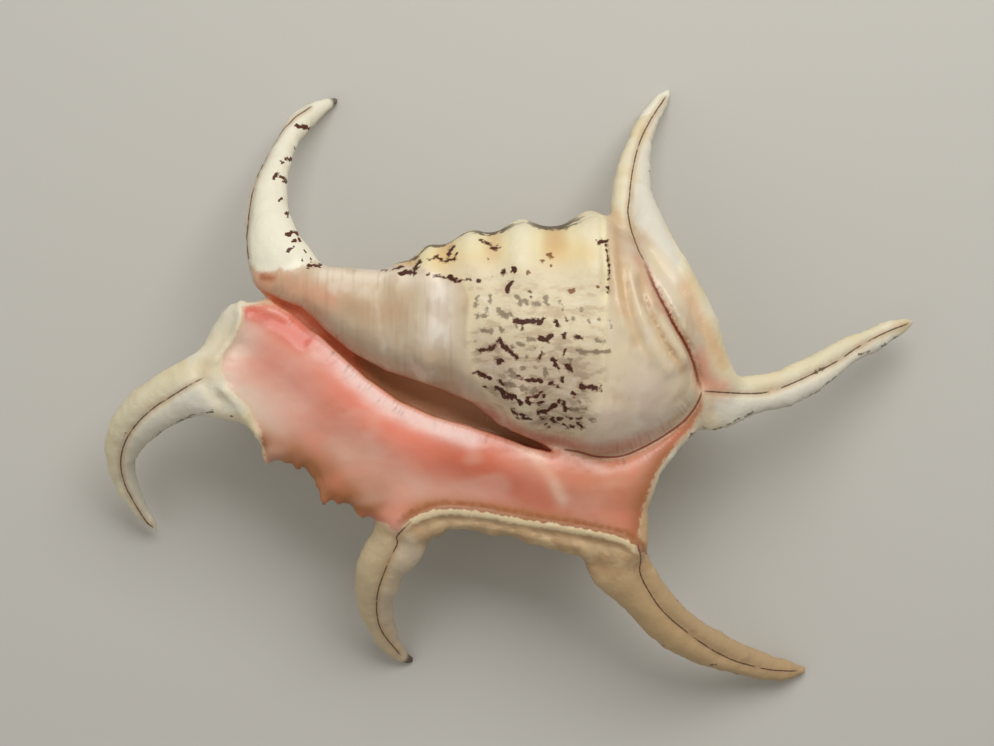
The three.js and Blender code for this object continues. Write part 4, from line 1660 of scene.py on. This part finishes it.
def finish_surface(f, lip, callus):
    """Gloss, fine relief and the output of the shell's material."""
    glossy = f.sum("MAXIMUM", lip, callus)
    roughness = f.sum("SUBTRACT", 0.52, f.times(glossy, 0.24))
    wrinkles = f.streaks("lip_along", 0.9, "lip_in", 9.0)
    near_slit = f.share(f.fact("lip_in"), 5.0, 1.5)
    dull = f.sum("SUBTRACT", 1.15, glossy)
    height = f.sum("ADD", f.times(wrinkles, near_slit, 0.35), f.times(f.fine, dull, 0.35))
    height = f.sum("ADD", height, f.times(f.mid, 0.6))
    height = f.sum("ADD", height, f.times(f.grain, dull, 0.12))
    bump = node(
        f.tree, "ShaderNodeBump", {"Height": height, "Strength": 0.6, "Distance": 0.6 * MM}
    ).outputs[0]
    shader = node(
        f.tree,
        "ShaderNodeBsdfPrincipled",
        {
            "Base Color": f.colour,
            "Roughness": roughness,
            "Normal": bump,
            "Subsurface Weight": 0.12,
            "Subsurface Radius": (1.0, 0.55, 0.35),
            "Subsurface Scale": 2.0 * MM,
            "Specular IOR Level": 0.42,
        },
    ).outputs[0]
    node(f.tree, "ShaderNodeOutputMaterial", {"Surface": shader})


def floor_finish():
    """Matt pale paint."""
    f = Finish("Matt pale paint", "#c4c1b9")
    shader = node(
        f.tree, "ShaderNodeBsdfPrincipled", {"Base Color": f.colour, "Roughness": 0.85}
    ).outputs[0]
    node(f.tree, "ShaderNodeOutputMaterial", {"Surface": shader})
    return f.material


# ---- Geometry Nodes -------------------------------------------------------------------------


def growth_waves():
    """A node group that lays low growth waves over a surface, with its sizes as named inputs."""
    tree = bpy.data.node_groups.new("Growth waves", "GeometryNodeTree")
    face = tree.interface
    face.new_socket("Geometry", in_out="INPUT", socket_type="NodeSocketGeometry")
    sizes = (("Wave length", 7.0), ("Wave height", 0.2), ("Spine roughness", 0.4), ("Seed", 4.0))
    for name, default in sizes:
        face.new_socket(name, in_out="INPUT", socket_type="NodeSocketFloat").default_value = default
    face.new_socket("Material", in_out="INPUT", socket_type="NodeSocketMaterial")
    face.new_socket("Geometry", in_out="OUTPUT", socket_type="NodeSocketGeometry")
    given = node(tree, "NodeGroupInput").outputs
    place = node(tree, "GeometryNodeInputPosition").outputs[0]
    scale = node(
        tree, "ShaderNodeMath", {0: 1 / MM, 1: given["Wave length"]}, operation="DIVIDE"
    ).outputs[0]
    waves = node(
        tree,
        "ShaderNodeTexNoise",
        {"Vector": place, "W": given["Seed"], "Scale": scale, "Detail": 2.0},
        noise_dimensions="4D",
    ).outputs["Fac"]
    even = node(tree, "ShaderNodeMath", {0: waves, 1: 0.5}, operation="SUBTRACT").outputs[0]
    outward = node(tree, "GeometryNodeInputNamedAttribute", {"Name": "spine"}, data_type="FLOAT")
    rough = node(
        tree,
        "ShaderNodeMath",
        {0: outward.outputs[0], 1: given["Spine roughness"], 2: given["Wave height"]},
        operation="MULTIPLY_ADD",
    ).outputs[0]
    reach = node(tree, "ShaderNodeMath", {0: rough, 1: 2 * MM}, operation="MULTIPLY").outputs[0]
    height = node(tree, "ShaderNodeMath", {0: even, 1: reach}, operation="MULTIPLY").outputs[0]
    normal = node(tree, "GeometryNodeInputNormal").outputs[0]
    offset = node(
        tree, "ShaderNodeVectorMath", {0: normal, "Scale": height}, operation="SCALE"
    ).outputs[0]
    separate = node(tree, "ShaderNodeSeparateXYZ", {0: place}).outputs["Z"]
    off_floor = node(
        tree, "FunctionNodeCompare", {0: separate, 1: 0.4 * MM}, operation="GREATER_THAN"
    ).outputs[0]
    moved = node(
        tree,
        "GeometryNodeSetPosition",
        {"Geometry": given["Geometry"], "Offset": offset, "Selection": off_floor},
    ).outputs[0]
    real = node(tree, "GeometryNodeRealizeInstances", {0: moved}).outputs[0]
    painted = node(
        tree, "GeometryNodeSetMaterial", {"Geometry": real, "Material": given["Material"]}
    ).outputs[0]
    node(tree, "NodeGroupOutput", {0: painted})
    return tree


def bake_modifier(piece, tree, inputs):
    """Runs a node group on a piece with these named inputs and keeps the result as its mesh."""
    modifier = piece.modifiers.new(tree.name, "NODES")
    modifier.node_group = tree
    for item in tree.interface.items_tree:
        if item.in_out == "INPUT" and item.name in inputs:
            modifier[item.identifier] = inputs[item.name]
    bpy.context.view_layer.update()
    depsgraph = bpy.context.evaluated_depsgraph_get()
    baked = bpy.data.meshes.new_from_object(piece.evaluated_get(depsgraph))
    piece.modifiers.remove(modifier)
    piece.data = baked


# ---- The add-on -----------------------------------------------------------------------------


class ShellSettings(bpy.types.PropertyGroup):
    lattice_step: FloatProperty(
        name="Lattice step", description="Spacing of the lattice, in mm", default=0.91, min=0.4
    )
    wave_length: FloatProperty(
        name="Wave length", description="Length of the growth waves, in mm", default=6.0
    )
    wave_height: FloatProperty(
        name="Wave height", description="Height of the growth waves, in mm", default=0.3
    )
    spine_roughness: FloatProperty(
        name="Spine roughness",
        description="Extra height of the waves on spines, in mm",
        default=0.8,
    )
    seed: IntProperty(name="Seed", description="Picks the growth waves", default=4)


class StageSettings(bpy.types.PropertyGroup):
    floor_size: FloatProperty(
        name="Floor size", description="Side of the floor", default=3.0, unit="LENGTH"
    )
    camera_place: FloatVectorProperty(
        name="Camera place",
        description="Where the camera hangs, looking straight down",
        default=(-0.00425, 0.0031, 0.537),
        subtype="XYZ",
        unit="LENGTH",
    )
    lens: FloatProperty(name="Lens", description="Focal length in mm", default=70.0)
    key_power: FloatProperty(name="Key light", description="Power in watts", default=4.0)
    fill_power: FloatProperty(name="Fill light", description="Power in watts", default=1.2)
    sky: FloatProperty(name="Room light", description="Strength of the room's light", default=0.34)


class CONCH_OT_grow(bpy.types.Operator):
    """Grow the shell as one closed surface"""

    bl_idname = "conch.grow"
    bl_label = "Grow the shell"

    def execute(self, context):
        wanted = context.scene.conch_shell
        lattice = grow(wanted.lattice_step)
        points, quads = surface_net(lattice)
        points = settle(lattice, points, quads)
        points, faces = refine_detail(lattice, points, quads)
        mesh = make_mesh(PIECE, points, faces, point_facts(lattice, points))
        piece = bpy.data.objects.new(PIECE, mesh)
        context.collection.objects.link(piece)
        inputs = {
            "Wave length": wanted.wave_length,
            "Wave height": wanted.wave_height,
            "Spine roughness": wanted.spine_roughness,
            "Seed": float(wanted.seed),
            "Material": shell_finish(),
        }
        bake_modifier(piece, growth_waves(), inputs)
        if not piece.data.polygons:
            raise RuntimeError("the shell came out empty")
        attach(piece, BODY)
        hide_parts(NODE)
        return {"FINISHED"}


class CONCH_OT_stage(bpy.types.Operator):
    """Lay the pale floor, the lights and the camera"""

    bl_idname = "conch.stage"
    bl_label = "Set the stage"

    def execute(self, context):
        wanted = context.scene.conch_stage
        half = wanted.floor_size / 2
        mesh = bpy.data.meshes.new("floor")
        corners = [(-half, -half, 0), (half, -half, 0), (half, half, 0), (-half, half, 0)]
        mesh.from_pydata(corners, [], [(0, 1, 2, 3)])
        mesh.materials.append(floor_finish())
        floor = bpy.data.objects.new("floor", mesh)
        context.collection.objects.link(floor)
        self.add_light(context, "key", wanted.key_power, (0.14, 0.42, 0.6), (0.6, 0.45))
        self.add_light(context, "fill", wanted.fill_power, (-0.6, -0.1, 0.7), (0.8, 0.8))
        context.scene.view_settings.view_transform = "Standard"
        self.add_room(context, wanted.sky)
        lens = bpy.data.cameras.new("camera")
        lens.lens = wanted.lens
        camera = bpy.data.objects.new("camera", lens)
        camera.location = wanted.camera_place
        context.collection.objects.link(camera)
        context.scene.camera = camera
        return {"FINISHED"}

    @staticmethod
    def add_light(context, name, power, place, size):
        lamp = bpy.data.lights.new(name, "AREA")
        lamp.energy = power
        lamp.shape = "RECTANGLE"
        lamp.size, lamp.size_y = size
        light = bpy.data.objects.new(name, lamp)
        light.location = place
        light.rotation_euler = (-Vector(place)).to_track_quat("-Z", "Y").to_euler()
        context.collection.objects.link(light)

    @staticmethod
    def add_room(context, strength):
        world = bpy.data.worlds.new("room")
        world.use_nodes = True
        sky = world.node_tree.nodes["Background"].inputs
        sky["Color"].default_value = linear("#f4f1ea")
        sky["Strength"].default_value = strength
        context.scene.world = world


class CONCH_PT_panel(bpy.types.Panel):
    bl_label = "Conch"
    bl_idname = "CONCH_PT_panel"
    bl_space_type = "VIEW_3D"
    bl_region_type = "UI"
    bl_category = "Conch"

    def draw(self, context):
        for group, operator in (("conch_shell", "conch.grow"), ("conch_stage", "conch.stage")):
            settings = getattr(context.scene, group)
            for name in settings.__annotations__:
                self.layout.prop(settings, name)
            self.layout.operator(operator)


CLASSES = (ShellSettings, StageSettings, CONCH_OT_grow, CONCH_OT_stage, CONCH_PT_panel)


def register():
    for cls in CLASSES:
        bpy.utils.register_class(cls)
    bpy.types.Scene.conch_shell = PointerProperty(type=ShellSettings)
    bpy.types.Scene.conch_stage = PointerProperty(type=StageSettings)


def unregister():
    del bpy.types.Scene.conch_stage
    del bpy.types.Scene.conch_shell
    for cls in reversed(CLASSES):
        bpy.utils.unregister_class(cls)


def main():
    register()
    bpy.ops.conch.grow()
    bpy.ops.conch.stage()


if __name__ == "__main__":
    main()
